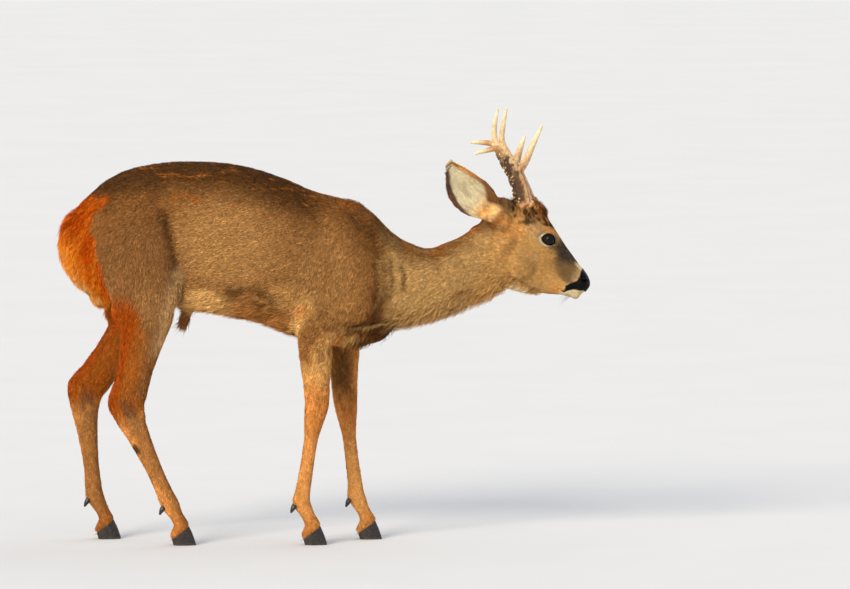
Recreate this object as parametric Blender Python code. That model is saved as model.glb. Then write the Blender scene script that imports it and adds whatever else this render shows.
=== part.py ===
"""A life-size roe deer buck, standing still with its neck stretched forward and its head lowered.

The flesh is modelled whole from lofted forms, fused into one body, and parted with thin cuts into the
parts that a person would name. Hooves, dewclaws, eyes and antlers are pieces of their own.
Frame: metres, +X the way the deer faces, +Y its left side, +Z up, z = 0 the floor under its hooves,
origin at the middle of the bottom of the whole animal's box.
"""

import math
from collections import namedtuple

import bmesh
import bpy
from mathutils import Euler, Matrix, Vector

# ---------------------------------------------------------------------------- driving sizes
MM = 0.001
CUT = 0.4 * MM  # width of the cuts that part the body
GAP = 0.35 * MM  # clearance between pieces that meet face to face
VOXEL = 3 * MM  # grain of the fused body
FLESH_TRIANGLES = 4650  # of the fused body, before it is parted
HEAD_REACH = 170 * MM  # how far from the middle of the head the mesh is finest
HEAD_FINENESS = 1.9  # how much finer it is there
ANTLER_VOXEL = 1.5 * MM
ANTLER_TRIANGLES = 320  # of one antler
ROUND = 28  # points round a loft

# Millimetres from here on, until a loft makes them metres.
EYE_RADIUS = 14
EYE_OUT = 36  # from the middle of the head to the middle of an eye
EYE_UP = 5

HEAD_PLACE = (441, 18, 604)  # the point midway between the eyes
HEAD_PITCH = 35  # degrees nose down
HEAD_YAW = 5  # degrees to the left
HEAD_ROLL = 2  # degrees, left side down

HOOF_LENGTH = 46
HOOF_WIDTH = 15
HOOF_SPREAD = 8.6  # from the middle of the foot to the middle of a hoof
CORONET_SLOPE = 14  # degrees that the top of a hoof falls towards its heel

FOREARM_CUT = 386  # how high the legs are parted from the trunk
THIGH_CUT = 450

Station = namedtuple("Station", "x y z aim up down wide power")


# ---------------------------------------------------------------------------- tools
def station(x, z, aim, up, down, wide, y=0.0, power=2.0):
    """A cross-section that faces along aim, in degrees above +X."""
    return Station(x, y, z, math.radians(aim), up, down, wide, power)


def spline(a, b, c, d, t):
    """Catmull-Rom: the value between b and c at t."""
    return 0.5 * (2 * b + (c - a) * t + (2 * a - 5 * b + 4 * c - d) * t * t
                  + (3 * b - a - 3 * c + d) * t**3)


def between(stations, steps):
    """The stations, with smooth ones filled in between them."""
    last = len(stations) - 1
    for i in range(last):
        around = [stations[min(max(k, 0), last)] for k in (i - 1, i, i + 1, i + 2)]
        for step in range(steps):
            yield Station(*(spline(*four, step / steps) for four in zip(*around)))
    yield stations[last]


def signed_power(value, power):
    return math.copysign(abs(value) ** (2 / power), value)


def ring_of(bm, s, sides):
    """One cross-section as a ring of vertices, egg-shaped where up and down differ."""
    up_axis = Vector((-math.sin(s.aim), 0, math.cos(s.aim)))
    ring = []
    for k in range(sides):
        turn = 2 * math.pi * k / sides
        across = s.wide * signed_power(math.cos(turn), s.power)
        reach = s.up if math.sin(turn) > 0 else s.down
        along = reach * signed_power(math.sin(turn), s.power)
        ring.append(bm.verts.new((Vector((s.x, s.y + across, s.z)) + up_axis * along) * MM))
    return ring


def skin_rings(bm, rings):
    """Faces along the rings, and a fan of them over each end."""
    sides = len(rings[0])
    for near, far in zip(rings, rings[1:]):
        for k in range(sides):
            n = (k + 1) % sides
            bm.faces.new((near[k], near[n], far[n], far[k]))
    made = [v for ring in rings for v in ring]
    for ring in (rings[0], rings[-1]):
        middle = bm.verts.new(sum((v.co for v in ring), Vector()) / sides)
        made.append(middle)
        for k in range(sides):
            bm.faces.new((ring[k], ring[(k + 1) % sides], middle))
    return made


def loft(bm, stations, steps=5, sides=ROUND, matrix=None):
    """A closed form through the cross-sections."""
    made = skin_rings(bm, [ring_of(bm, s, sides) for s in between(stations, steps)])
    if matrix is not None:
        bmesh.ops.transform(bm, matrix=matrix, verts=made)


def tube(bm, points, radii, steps=5, sides=12, matrix=None):
    """A round tapering horn through the points."""
    rods = [Station(*p, 0, r, 0, 0, 0) for p, r in zip(points, radii)]
    path = [(Vector((s.x, s.y, s.z)), s.up) for s in between(rods, steps)]
    rings = []
    for i, (here, radius) in enumerate(path):
        way = path[min(i + 1, len(path) - 1)][0] - path[max(i - 1, 0)][0]
        square = way.to_track_quat("Z", "Y")
        turns = (2 * math.pi * k / sides for k in range(sides))
        around = (Vector((math.cos(a), math.sin(a), 0)) * radius for a in turns)
        rings.append([bm.verts.new((here + square @ v) * MM) for v in around])
    made = skin_rings(bm, rings)
    if matrix is not None:
        bmesh.ops.transform(bm, matrix=matrix, verts=made)


def muscle(bm, place, size, turn=(0, 0, 0), matrix=None):
    """An ellipsoid with these half-axes, turned by degrees about X, Y and Z."""
    shape = (Matrix.Translation(Vector(place) * MM)
             @ Euler([math.radians(a) for a in turn]).to_matrix().to_4x4()
             @ Matrix.Diagonal((*(Vector(size) * MM), 1)))
    if matrix is not None:
        shape = matrix @ shape
    bmesh.ops.create_icosphere(bm, subdivisions=3, radius=1, matrix=shape)


def object_from(name, bm, material=None):
    bmesh.ops.recalc_face_normals(bm, faces=bm.faces)
    mesh = bpy.data.meshes.new(name)
    bm.to_mesh(mesh)
    bm.free()
    obj = bpy.data.objects.new(name, mesh)
    bpy.context.scene.collection.objects.link(obj)
    if material is not None:
        mesh.materials.append(material)
    return obj


def apply_modifiers(obj):
    graph = bpy.context.evaluated_depsgraph_get()
    mesh = bpy.data.meshes.new_from_object(obj.evaluated_get(graph), depsgraph=graph)
    obj.modifiers.clear()
    obj.data = mesh


def fuse(obj, voxel, smoothing):
    """Joins what the object's loose forms cover into one smooth skin."""
    remesh = obj.modifiers.new("fuse", "REMESH")
    remesh.mode = "VOXEL"
    remesh.voxel_size = voxel
    apply_modifiers(obj)
    soften(obj, smoothing)


def soften(obj, iterations, weight=None):
    """Smooths the mesh, as strongly as weight says at each point."""
    smooth = obj.modifiers.new("soften", "SMOOTH")
    smooth.factor = 0.5
    smooth.iterations = iterations
    if weight is not None:
        group = obj.vertex_groups.new(name="weight")
        for v in obj.data.vertices:
            group.add([v.index], weight(v.co / MM), "REPLACE")
        smooth.vertex_group = group.name
    apply_modifiers(obj)
    obj.vertex_groups.clear()


def thin_out(obj, triangles):
    """Brings the mesh down to this many triangles."""
    decimate = obj.modifiers.new("thin", "DECIMATE")
    decimate.ratio = triangles / (2 * len(obj.data.polygons))
    decimate.use_collapse_triangulate = True
    apply_modifiers(obj)


def swell(obj, centre, reach, factor):
    """Magnifies the mesh about centre as far as reach, and pushes all beyond it outward as far."""
    for v in obj.data.vertices:
        away = v.co - centre
        v.co += away * (factor - 1) * min(1.0, reach / max(away.length, reach))


def shrink_back(obj, centre, reach, factor):
    """Undoes swell."""
    for v in obj.data.vertices:
        away = v.co - centre
        far = away.length
        v.co = centre + away * (max(far - (factor - 1) * reach, far / factor) / max(far, 1e-9))


def subtract(obj, cutter):
    """Takes the cutter out of the object, and the cutter out of the scene."""
    cut = obj.modifiers.new("cut", "BOOLEAN")
    cut.operation = "DIFFERENCE"
    cut.solver = "EXACT"
    cut.use_self = True
    cut.object = cutter
    apply_modifiers(obj)
    bpy.data.objects.remove(cutter)


def inflated(bm_into, mesh, by):
    """Adds a copy of the mesh, swollen along its normals, to bm_into."""
    swollen = bmesh.new()
    swollen.from_mesh(mesh)
    swollen.normal_update()
    for v, normal in [(v, v.normal.copy()) for v in swollen.verts]:
        v.co += normal * by
    copy = bpy.data.meshes.new("swollen")
    swollen.to_mesh(copy)
    swollen.free()
    bm_into.from_mesh(copy)
    bpy.data.meshes.remove(copy)


def material_named(name, colour, roughness):
    made = bpy.data.materials.new(name)
    made.use_nodes = True
    surface = made.node_tree.nodes["Principled BSDF"]
    surface.inputs["Base Color"].default_value = (*colour, 1)
    surface.inputs["Roughness"].default_value = roughness
    surface.inputs["Metallic"].default_value = 0.0
    return made


def head_frame():
    """The head's own frame: x runs from the eyes to the nose, y to the left, z out of the forehead."""
    turn = (Matrix.Rotation(math.radians(HEAD_YAW), 4, "Z")
            @ Matrix.Rotation(math.radians(HEAD_PITCH), 4, "Y")
            @ Matrix.Rotation(math.radians(-HEAD_ROLL), 4, "X"))
    return Matrix.Translation(Vector(HEAD_PLACE) * MM) @ turn


# ---------------------------------------------------------------------------- trunk and neck
def section(x, top, bottom, wide, widest=0.46, power=2.2):
    """An upright section whose widest point is this share of the way up it."""
    middle = bottom + (top - bottom) * widest
    return station(x, middle, 0, top - middle, middle - bottom, wide, power=power)


def trunk(bm):
    """Rump, loin, belly, ribs and chest."""
    loft(bm, [
        section(-527, 612, 580, 12, 0.5, 2.0),
        section(-521, 632, 560, 28, 0.5, 2.0),
        section(-506, 656, 534, 46, 0.5, 2.0),
        section(-474, 695, 502, 66, 0.48, 2.1),
        section(-430, 731, 482, 80, 0.48),
        section(-385, 752, 476, 86, 0.48),
        section(-320, 764, 480, 84),
        section(-255, 766, 464, 90),
        section(-190, 762, 452, 99, 0.42),
        section(-130, 749, 440, 105, 0.42),
        section(-70, 728, 416, 102, 0.42),
        section(-20, 706, 402, 93, 0.42),
        section(30, 694, 393, 80, 0.42, 2.1),
        section(72, 679, 391, 66, 0.42, 2.0),
        section(108, 642, 408, 50, 0.42, 2.0),
        section(132, 600, 440, 30, 0.42, 2.0),
    ])


def neck(bm):
    """From the chest, forward and a little down, then up to the back of the skull."""
    loft(bm, [
        station(62, 560, -18, 112, 140, 66),
        station(115, 532, -16, 92, 116, 62),
        station(165, 515, -8, 86, 85, 56),
        station(212, 518, 3, 73, 74, 50),
        station(258, 532, 15, 72, 70, 46.5, 2),
        station(302, 554, 24, 68, 70, 45, 5),
        station(340, 580, 30, 68, 73, 44, 9),
        station(378, 600, 26, 50, 68, 38, 12),
    ])


def shoulders(bm):
    for side in (-1, 1):
        muscle(bm, (36, side * 48, 580), (58, 32, 104), (0, -16, 0))  # shoulder blade
        muscle(bm, (66, side * 54, 488), (54, 32, 52), (0, -20, 0))  # point of the shoulder
        muscle(bm, (2, side * 60, 462), (64, 31, 52), (0, -22, 0))  # upper arm
    muscle(bm, (92, 8, 440), (48, 44, 44), (0, -15, 0))  # brisket
    muscle(bm, (54, 0, 646), (48, 30, 43), (0, 45, 0))  # slope of the withers


def haunches(bm):
    """The great muscles of the hindquarters, and the sheath under the belly."""
    for side in (-1, 1):
        muscle(bm, (-385, side * 52, 640), (102, 43, 102), (0, -10, 0))  # hip
        muscle(bm, (-436, side * 46, 600), (72, 40, 90), (0, -20, side * 10))  # behind the hip
        muscle(bm, (-472, side * 31, 586), (51, 34, 86), (0, -18, side * 24))  # buttock
        muscle(bm, (-352, side * 65, 532), (72, 36, 92), (0, -6, 0))  # thigh
    muscle(bm, (-276, 0, 458), (15, 12, 34), (0, 8, 0))  # sheath
    muscle(bm, (-440, 0, 502), (34, 30, 31), (0, -20, 0))  # fringe under the rump
    muscle(bm, (-404, 60, 470), (36, 26, 46), (0, 40, 0))  # back of the left thigh
    muscle(bm, (-394, -60, 480), (32, 26, 42), (0, 30, 0))  # back of the right thigh


# ---------------------------------------------------------------------------- legs
Joints = namedtuple("Joints", "top upper middle lower coronet")

# Fore: shoulder, elbow, knee, fetlock, coronet. Hind: hip, stifle, hock, fetlock, coronet.
LEGS = {
    "foreleg_right": Joints(
        (20, -56, 520), (-18, -58, 440), (-14, -56, 284), (-45, -54, 87), (-21, -54, 36)),
    "foreleg_left": Joints(
        (50, 56, 520), (34, 60, 436), (41, 60, 284), (64, 58, 88), (88, 58, 36)),
    "hindleg_right": Joints(
        (-365, -58, 600), (-348, -70, 462), (-393, -66, 288), (-307, -62, 84), (-283, -62, 36)),
    "hindleg_left": Joints(
        (-365, 58, 600), (-352, 70, 470), (-478, 68, 302), (-461, 64, 88), (-437, 64, 36)),
}

# How thick a leg is: how far down its joints, then in front of, behind and beside their line.
FORE_SIZES = (
    (0.4, 44, 44, 34), (1.0, 38, 38, 30), (1.25, 36, 36, 27), (1.5, 33, 33, 24.5), (1.75, 28.5, 28.5, 22),
    (2.0, 26, 26, 21), (2.12, 23, 24, 20), (2.25, 18, 20, 17), (2.4, 14.5, 16, 14.5), (2.7, 14.5, 16, 14),
    (2.9, 16, 17.5, 15.5), (3.0, 17.5, 21, 17.5), (3.18, 16.5, 19, 18), (3.5, 14, 15, 17), (3.8, 15, 14, 18.5),
    (4.0, 17, 15, 19.5), (4.2, 17, 15, 19.5),
)
HIND_SIZES = (
    (0.4, 66, 60, 38), (0.8, 58, 60, 39), (1.0, 52, 58, 36), (1.3, 43, 46, 31), (1.6, 37, 37, 26),
    (1.85, 38, 37, 22), (2.0, 39, 42, 20), (2.13, 27, 39, 19), (2.27, 19, 33, 17.5), (2.45, 16, 27, 16),
    (2.7, 14, 21, 15.5), (2.9, 15.5, 21, 16.5), (3.0, 18, 22, 18.5), (3.18, 17, 20, 18.5), (3.5, 14, 15, 17.5),
    (3.8, 15, 14, 18.5), (4.0, 17, 15, 19.5), (4.2, 17, 15, 19.5),
)


def place_on(joints, along):
    """The point this far down the joints: 0 at the first, 4 at the last, and on past it."""
    i = min(int(along), len(joints) - 2)
    return Vector(joints[i]).lerp(Vector(joints[i + 1]), along - i)


def leg(bm, joints, sizes):
    """A leg through its joints. Each section lies square to the way the leg runs there."""
    stations = []
    for along, front, rear, wide in sizes:
        here = place_on(joints, along)
        way = place_on(joints, along + 0.15) - place_on(joints, max(along - 0.15, 0))
        aim = math.degrees(math.atan2(way.z, way.x))
        stations.append(station(here.x, here.z, aim, front, rear, wide, here.y, 2.15))
    loft(bm, stations, steps=4, sides=20)


def sizes_of(name):
    return FORE_SIZES if name.startswith("fore") else HIND_SIZES


# ---------------------------------------------------------------------------- head
def skull(bm, at):
    """Forehead, face and muzzle, then the lower jaw, in the head's own frame."""
    def face(x, top, bottom, wide, widest=0.55):
        return section(x, top, bottom, wide, widest, 2.1)

    loft(bm, [
        face(127, -21, -38, 10),
        face(122, -15, -45, 15.5),
        face(110, -7, -50, 19.5),
        face(93, -1, -55, 21),
        face(72, 6, -59, 24),
        face(48, 14, -61, 29, 0.6),
        face(26, 22, -63, 36, 0.62),
        face(4, 31, -65, 41, 0.66),
        face(-18, 40, -67, 43, 0.66),
        face(-46, 49, -69, 43, 0.6),
        face(-76, 42, -70, 41, 0.56),
        face(-104, 24, -66, 36, 0.52),
        face(-126, 0, -58, 28, 0.5),
    ], matrix=at)
    loft(bm, [
        face(121, -40, -53, 8, 0.5),
        face(113, -40, -63, 13, 0.5),
        face(92, -40, -71, 16, 0.5),
        face(66, -40, -86, 19, 0.5),
        face(34, -40, -100, 23, 0.5),
        face(4, -36, -106, 27, 0.5),
        face(-24, -34, -106, 29, 0.5),
        face(-52, -34, -94, 27, 0.5),
    ], matrix=at)


def head_details(bm, at):
    for side in (-1, 1):
        muscle(bm, (-1, side * 33, EYE_UP), (27, 11, 21), (0, -15, side * -8), at)  # rim of the eye socket
        muscle(bm, (-24, side * 25, -62), (42, 14, 36), (0, 20, 0), at)  # cheek
        muscle(bm, (-70, side * 21, 26), (18, 16, 20), (0, -25, 0), at)  # pedicle of the antler
        muscle(bm, (-98, side * 32, -16), (26, 20, 26), (0, -30, 0), at)  # root of the ear
        muscle(bm, (-106, side * 33, 3), (24, 17, 24), (0, -10, 0), at)  # front of the ear's root
        muscle(bm, (109, side * 10, -31), (15, 12, 17), (0, 0, 0), at)  # wing of the nose
    muscle(bm, (-46, 0, 38), (24, 27, 16), (0, -14, 0), at)  # tuft on the crown
    muscle(bm, (0, 0, -92), (58, 18, 20), (0, -14, 0), at)  # throat
    muscle(bm, (113, 0, -54), (12, 12, 11), (0, 0, 0), at)  # chin


# ---------------------------------------------------------------------------- ears
# In the head's frame: a left ear's root, then each side's tip and the way its hollow faces. The left
# ear is raised a little and turned further forward.
EAR_ROOT = (-109, 32, -22)
EAR_TIP = {-1: (-253, -84, 9), 1: (-242, 84, 24)}
EAR_HOLLOW = {-1: (0.12, -1, -0.05), 1: (0.25, 1, 0.42)}
# Out from the root to the tip: half the width round the cup, how far each edge curls round from the
# cup's middle in radians, and how far the whole lies in front of the ear's line.
EAR_SHAPE = (
    (24, 2.3, 7), (31, 1.95, 5), (37, 1.55, 0), (38, 1.25, -5), (34.5, 1.1, -9), (29, 1.0, -10), (19, 0.9, -6),
    (6, 0.9, 0),
)
EAR_WALL = 7
EAR_CUT = 38  # how far out from its root an ear is parted from the head
EAR_ROWS = 14
EAR_COLUMNS = 12


def ear_ends(side):
    return Vector((EAR_ROOT[0], EAR_ROOT[1] * side, EAR_ROOT[2])), Vector(EAR_TIP[side])


def ear_frame(side):
    """An ear's own frame: z runs out to its tip, x to its front edge, and its hollow faces -y."""
    root, tip = ear_ends(side)
    out = (tip - root).normalized()
    hollow = Vector(EAR_HOLLOW[side])
    hollow = (hollow - out * hollow.dot(out)).normalized()
    front = hollow.cross(out) * side
    if front.z < 0:
        front.negate()
    axes = Matrix((front, -hollow, out)).transposed().to_4x4()
    return Matrix.Translation(root * MM) @ axes


def rows_between(table, share):
    """The table's row at this share of the way down it, between its own rows."""
    place = share * (len(table) - 1)
    i = min(int(place), len(table) - 2)
    return [a + (b - a) * (place - i) for a, b in zip(table[i], table[i + 1])]


def ear(bm, at, side):
    """A cupped leaf: rolled into a tube at the root, broad above, pointed at the tip."""
    root, tip = ear_ends(side)
    length = (tip - root).length
    layers = []
    for outward in (1, -1):
        rows = []
        for i in range(EAR_ROWS + 1):
            t = i / EAR_ROWS
            half, curl, ahead = rows_between(EAR_SHAPE, t)
            radius = 1.3 * half / curl
            wall = outward * EAR_WALL / 2 * (1 - 0.5 * t)
            row = []
            for k in range(EAR_COLUMNS + 1):
                turn = curl * (2 * k / EAR_COLUMNS - 1)
                reach = max(radius + wall, 0.8)
                x = reach * math.sin(turn) + ahead
                y = reach * math.cos(turn) - radius * 0.7
                row.append(bm.verts.new(Vector((x, y, t * length)) * MM))
            rows.append(row)
        layers.append(rows)
    outer, inner = layers
    faces = []
    for grid in layers:
        for low, high in zip(grid, grid[1:]):
            for k in range(EAR_COLUMNS):
                faces.append(bm.faces.new((low[k], low[k + 1], high[k + 1], high[k])))
    for k in (0, EAR_COLUMNS):
        for i in range(EAR_ROWS):
            faces.append(bm.faces.new((outer[i][k], outer[i + 1][k], inner[i + 1][k], inner[i][k])))
    for i in (0, EAR_ROWS):
        for k in range(EAR_COLUMNS):
            faces.append(bm.faces.new((outer[i][k], outer[i][k + 1], inner[i][k + 1], inner[i][k])))
    made = [v for rows in layers for row in rows for v in row]
    bmesh.ops.transform(bm, matrix=at @ ear_frame(side), verts=made)


# ---------------------------------------------------------------------------- antlers
Antler = namedtuple("Antler", "beam front top rear")

# World places, in millimetres: the beam from below the burr to the upper fork, then each tine.
ANTLERS = {
    "right": Antler(
        beam=((403, -5, 668), (396, -8, 700), (386, -14, 734), (371, -22, 766), (356, -30, 790)),
        front=((384, -16, 740), (402, -25, 766), (417, -33, 800), (434, -39, 834)),
        top=((366, -26, 780), (355, -33, 806), (357, -40, 836), (364, -46, 871)),
        rear=((362, -28, 789), (343, -34, 792), (324, -38, 788), (304, -42, 783)),
    ),
    "left": Antler(
        beam=((414, 38, 668), (401, 42, 696), (385, 48, 732), (363, 56, 766), (345, 63, 788)),
        front=((379, 51, 746), (387, 60, 769), (393, 67, 787), (400, 72, 807)),
        top=((356, 58, 776), (342, 66, 802), (341, 73, 830), (346, 80, 861)),
        rear=((354, 60, 786), (334, 67, 795), (315, 72, 797), (296, 77, 797)),
    ),
}
BEAM_RADII = (17, 17.5, 16.5, 12.5, 8.5)
FRONT_RADII = (10.5, 8, 6, 2.4)
TOP_RADII = (8.5, 6.4, 5.2, 2.4)
REAR_RADII = (8, 6.2, 5, 2.4)
BURR = (22, 20, 8)  # half-axes of the knobbly ring round the foot of the beam


def antler(name, plan, materials):
    """One antler fused from its beam, burr and tines, then parted at its forks."""
    bm = bmesh.new()
    tube(bm, plan.beam, BEAM_RADII)
    tube(bm, plan.front, FRONT_RADII)
    tube(bm, plan.top, TOP_RADII)
    tube(bm, plan.rear, REAR_RADII)
    foot = Vector(plan.beam[0])
    lean = Vector(plan.beam[1]) - foot
    tilt = math.degrees(math.atan2(lean.x, lean.z))
    muscle(bm, foot + lean.normalized() * 8, BURR, (0, tilt, 0))
    whole = object_from(f"antler_{name}", bm)
    fuse(whole, ANTLER_VOXEL, 3)
    thin_out(whole, ANTLER_TRIANGLES)
    for tine, along, size in ((plan.front, 1.0, 27), (plan.top, 1.1, 22), (plan.rear, 1.3, 20)):
        root = Vector(tine[0]).lerp(Vector(tine[1]), along)
        fork = bmesh.new()
        slab(fork, root, Vector(tine[1]) - Vector(tine[0]), size, size)
        subtract(whole, object_from("fork", fork))
    seeds = {f"antler_{name}_{part}": Vector(getattr(plan, part)[2]) for part in plan._fields}
    return part_by_seeds(whole, seeds, lambda _: materials["antler"])


# ---------------------------------------------------------------------------- hooves and dewclaws
def coronet_height(x):
    """How high the top of a hoof is, this far in front of the coronet's middle."""
    return math.tan(math.radians(CORONET_SLOPE)) * x


def hoof(name, foot, side, material):
    """A hoof: a flat sole pointed at the toe, walls that lean back, and a sloping top under the skin."""
    middle = Vector(foot)
    bm = bmesh.new()
    rings = []
    sides = 10
    for height, fullness, fore in ((0.0, 0.96, 1.0), (0.1, 1.0, 1.0), (0.55, 1.0, 0.9), (1.0, 0.93, 0.74)):
        ring = []
        for k in range(sides):
            turn = 2 * math.pi * k / sides
            along = math.cos(turn)
            x = along * HOOF_LENGTH / 2 * (fore if along > 0 else 1)
            taper = 1 - 0.42 * max(along, 0.0) ** 1.5
            y = math.sin(turn) * HOOF_WIDTH / 2 * fullness * taper + 1.6 * side * (0.4 - along)
            x += HOOF_LENGTH / 2 - 18 - 9 * height
            z = height * (middle.z + coronet_height(x) - GAP / MM)
            ring.append(bm.verts.new(Vector((middle.x + x, middle.y + side * HOOF_SPREAD + y, z)) * MM))
        rings.append(ring)
    skin_rings(bm, rings)
    return object_from(name, bm, material)


def dewclaw(name, joints, side, material):
    """A small blunt horn cone behind the fetlock."""
    fetlock = Vector(joints.lower)
    down = (Vector(joints.coronet) - fetlock).normalized()
    root = fetlock + Vector((-13, side * 9.5, -6))
    tip = root + Vector((-9, side * 1.5, -16))
    bm = bmesh.new()
    tube(bm, (root, root.lerp(tip, 0.5), tip + down), (5.2, 5.4, 2.2), steps=1, sides=6)
    return object_from(name, bm, material)


# ---------------------------------------------------------------------------- parting the body
def slab(bm, place, way, across, along):
    """A thin plate square to way, to cut with: this wide across the animal, and this long."""
    way = way.normalized()
    sideways = (Vector((0, 1, 0)) - way * way.y).normalized()
    turn = Matrix((sideways, way.cross(sideways), way)).transposed().to_4x4()
    matrix = (Matrix.Translation(Vector(place) * MM) @ turn
              @ Matrix.Diagonal((across * MM, along * MM, CUT, 1)))
    bmesh.ops.create_cube(bm, size=1, matrix=matrix)


def body_cuts(at):
    """The cuts between trunk, neck, head, ears and the lengths of each leg, in one cutter."""
    bm = bmesh.new()
    slab(bm, (122, 0, 535), Vector((0.97, 0, -0.22)), 300, 320)  # foot of the neck
    slab(bm, (330, 6, 572), Vector((0.83, 0.04, 0.56)), 130, 178)  # behind the jaw
    for side in (-1, 1):
        frame = at @ ear_frame(side)
        way = frame.to_quaternion() @ Vector((0, 0, 1))
        slab(bm, frame @ (Vector((3, -4, EAR_CUT)) * MM) / MM, way, 76, 92)
    for name, joints in LEGS.items():
        height = FOREARM_CUT if name.startswith("fore") else THIGH_CUT
        slab(bm, (joints.upper[0] - 15, joints.upper[1], height), Vector((0, 0, 1)), 114, 196)
        for along, size in ((2.16, 96), (2.86, 60)):
            way = place_on(joints, along + 0.1) - place_on(joints, along - 0.1)
            slab(bm, place_on(joints, along), way, size, size)
    return object_from("cuts", bm)


def ground_trim(bm):
    """What lies under each foot's coronet, to take off the end of the leg."""
    for joints in LEGS.values():
        middle = Vector(joints.coronet)
        turn = Matrix.Rotation(math.radians(-CORONET_SLOPE), 4, "Y")
        matrix = (Matrix.Translation(middle * MM) @ turn
                  @ Matrix.Translation(Vector((0, 0, -30)) * MM)
                  @ Matrix.Diagonal((120 * MM, 70 * MM, 60 * MM, 1)))
        bmesh.ops.create_cube(bm, size=1, matrix=matrix)


def loose_shells(bm):
    """The faces of each separate body in the mesh."""
    left = set(bm.faces)
    for first in bm.faces:
        if first not in left:
            continue
        left.remove(first)
        stack = [first]
        shell = []
        while stack:
            face = stack.pop()
            shell.append(face)
            for other in {f for edge in face.edges for f in edge.link_faces} & left:
                left.remove(other)
                stack.append(other)
        yield shell


def part_by_seeds(whole, seeds, material_for):
    """Splits a cut body into its pieces. Each takes the name of the seed nearest its middle."""
    bm = bmesh.new()
    bm.from_mesh(whole.data)
    made = {}
    for shell in sorted(loose_shells(bm), key=len, reverse=True)[:len(seeds)]:
        order = {v: i for i, v in enumerate({v: None for face in shell for v in face.verts})}
        points = [v.co.copy() for v in order]
        middle = sum(points, Vector()) / len(points) / MM
        name = min(set(seeds) - set(made), key=lambda n: (seeds[n] - middle).length)
        mesh = bpy.data.meshes.new(name)
        mesh.from_pydata(points, [], [[order[v] for v in face.verts] for face in shell])
        mesh.materials.append(material_for(name))
        made[name] = bpy.data.objects.new(name, mesh)
        bpy.context.scene.collection.objects.link(made[name])
    bm.free()
    bpy.data.objects.remove(whole)
    return made


def flesh_seeds(at):
    """About the middle of each part of the body."""
    seeds = {
        "trunk": Vector((-200, 0, 590)),
        "neck": Vector((220, 0, 530)),
        "head": at @ Vector((0, 0, -10 * MM)) / MM,
    }
    for name, side in (("ear_right", -1), ("ear_left", 1)):
        seeds[name] = at @ ear_frame(side) @ Vector((0, 0, 85 * MM)) / MM
    for name, joints in LEGS.items():
        for length, along in (("upper", 1.75), ("lower", 2.5), ("pastern", 3.4)):
            seeds[f"{name}_{length}"] = place_on(joints, along)
    return seeds


# ---------------------------------------------------------------------------- the whole animal
def bulk(point):
    """1 on the trunk and neck, where the muscles blend into one another, and 0 on legs and head."""
    above_legs = min(max((point.z - 400) / 80, 0.0), 1.0)
    behind_head = min(max((330 - point.x) / 60, 0.0), 1.0)
    under_ears = 1.0 if point.z < 655 or point.x < 150 else 0.0
    return above_legs * behind_head * under_ears


def fused_flesh(at):
    bm = bmesh.new()
    trunk(bm)
    neck(bm)
    shoulders(bm)
    haunches(bm)
    for name, joints in LEGS.items():
        leg(bm, joints, sizes_of(name))
    skull(bm, at)
    head_details(bm, at)
    ear(bm, at, -1)
    ear(bm, at, 1)
    flesh = object_from("flesh", bm)
    fuse(flesh, VOXEL, 6)
    soften(flesh, 40, bulk)
    swell(flesh, at.translation, HEAD_REACH, HEAD_FINENESS)
    thin_out(flesh, FLESH_TRIANGLES)
    shrink_back(flesh, at.translation, HEAD_REACH, HEAD_FINENESS)
    return flesh


def centre_on_origin():
    """Slides the whole animal along the floor until the middle of its box is over the origin."""
    corners = [v.co for obj in bpy.data.objects for v in obj.data.vertices]
    middle = Vector([(min(c[i] for c in corners) + max(c[i] for c in corners)) / 2 for i in (0, 1)] + [0])
    for obj in bpy.data.objects:
        obj.data.transform(Matrix.Translation(-middle))


def main():
    for obj in list(bpy.data.objects):
        bpy.data.objects.remove(obj)
    coat = material_named("coat", (0.26, 0.16, 0.09), 0.9)
    rust = material_named("leg_coat", (0.38, 0.15, 0.04), 0.9)
    ear_coat = material_named("ear_coat", (0.42, 0.30, 0.18), 0.9)
    materials = {"antler": material_named("antler", (0.55, 0.42, 0.28), 0.45)}
    horn = material_named("hoof", (0.02, 0.018, 0.016), 0.35)
    wet = material_named("eye", (0.012, 0.008, 0.006), 0.05)
    at = head_frame()

    flesh = fused_flesh(at)
    pieces = []
    for name, side in (("right", -1), ("left", 1)):
        bm = bmesh.new()
        place = at @ (Vector((0, side * EYE_OUT, EYE_UP)) * MM)
        bmesh.ops.create_icosphere(bm, subdivisions=2, radius=EYE_RADIUS * MM, matrix=Matrix.Translation(place))
        pieces.append(object_from(f"eye_{name}", bm, wet))
    for name, joints in LEGS.items():
        for claw, side in (("right", -1), ("left", 1)):
            hoof(f"{name}_hoof_{claw}", joints.coronet, side, horn)
            pieces.append(dewclaw(f"{name}_dewclaw_{claw}", joints, side, horn))
    for name, plan in ANTLERS.items():
        pieces.append(antler(name, plan, materials)[f"antler_{name}_beam"])

    seats = bmesh.new()
    for piece in pieces:
        inflated(seats, piece.data, 1.3 * GAP)
    ground_trim(seats)
    subtract(flesh, object_from("seats", seats))
    subtract(flesh, body_cuts(at))

    def material_for(name):
        if "ear_" in name:
            return ear_coat
        return rust if "leg_" in name else coat

    part_by_seeds(flesh, flesh_seeds(at), material_for)
    centre_on_origin()
    for obj in bpy.data.objects:
        obj.data.shade_smooth()
        obj.data.set_sharp_from_angle(angle=math.radians(40))


main()
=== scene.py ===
"""A roe deer buck as a museum shows it: one skin under a full coat, wet eyes, pearled antlers and hooves.

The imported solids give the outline. The skin is fused from them and sinks inside them by the depth of
the coat, the head is given its lids, nostrils and mouth, and tufts grow from it along the lie of the
hair. One set of markings colours the skin and the coat. Millimetres in the tables, metres in the meshes.
"""

import math
from collections import namedtuple

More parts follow.
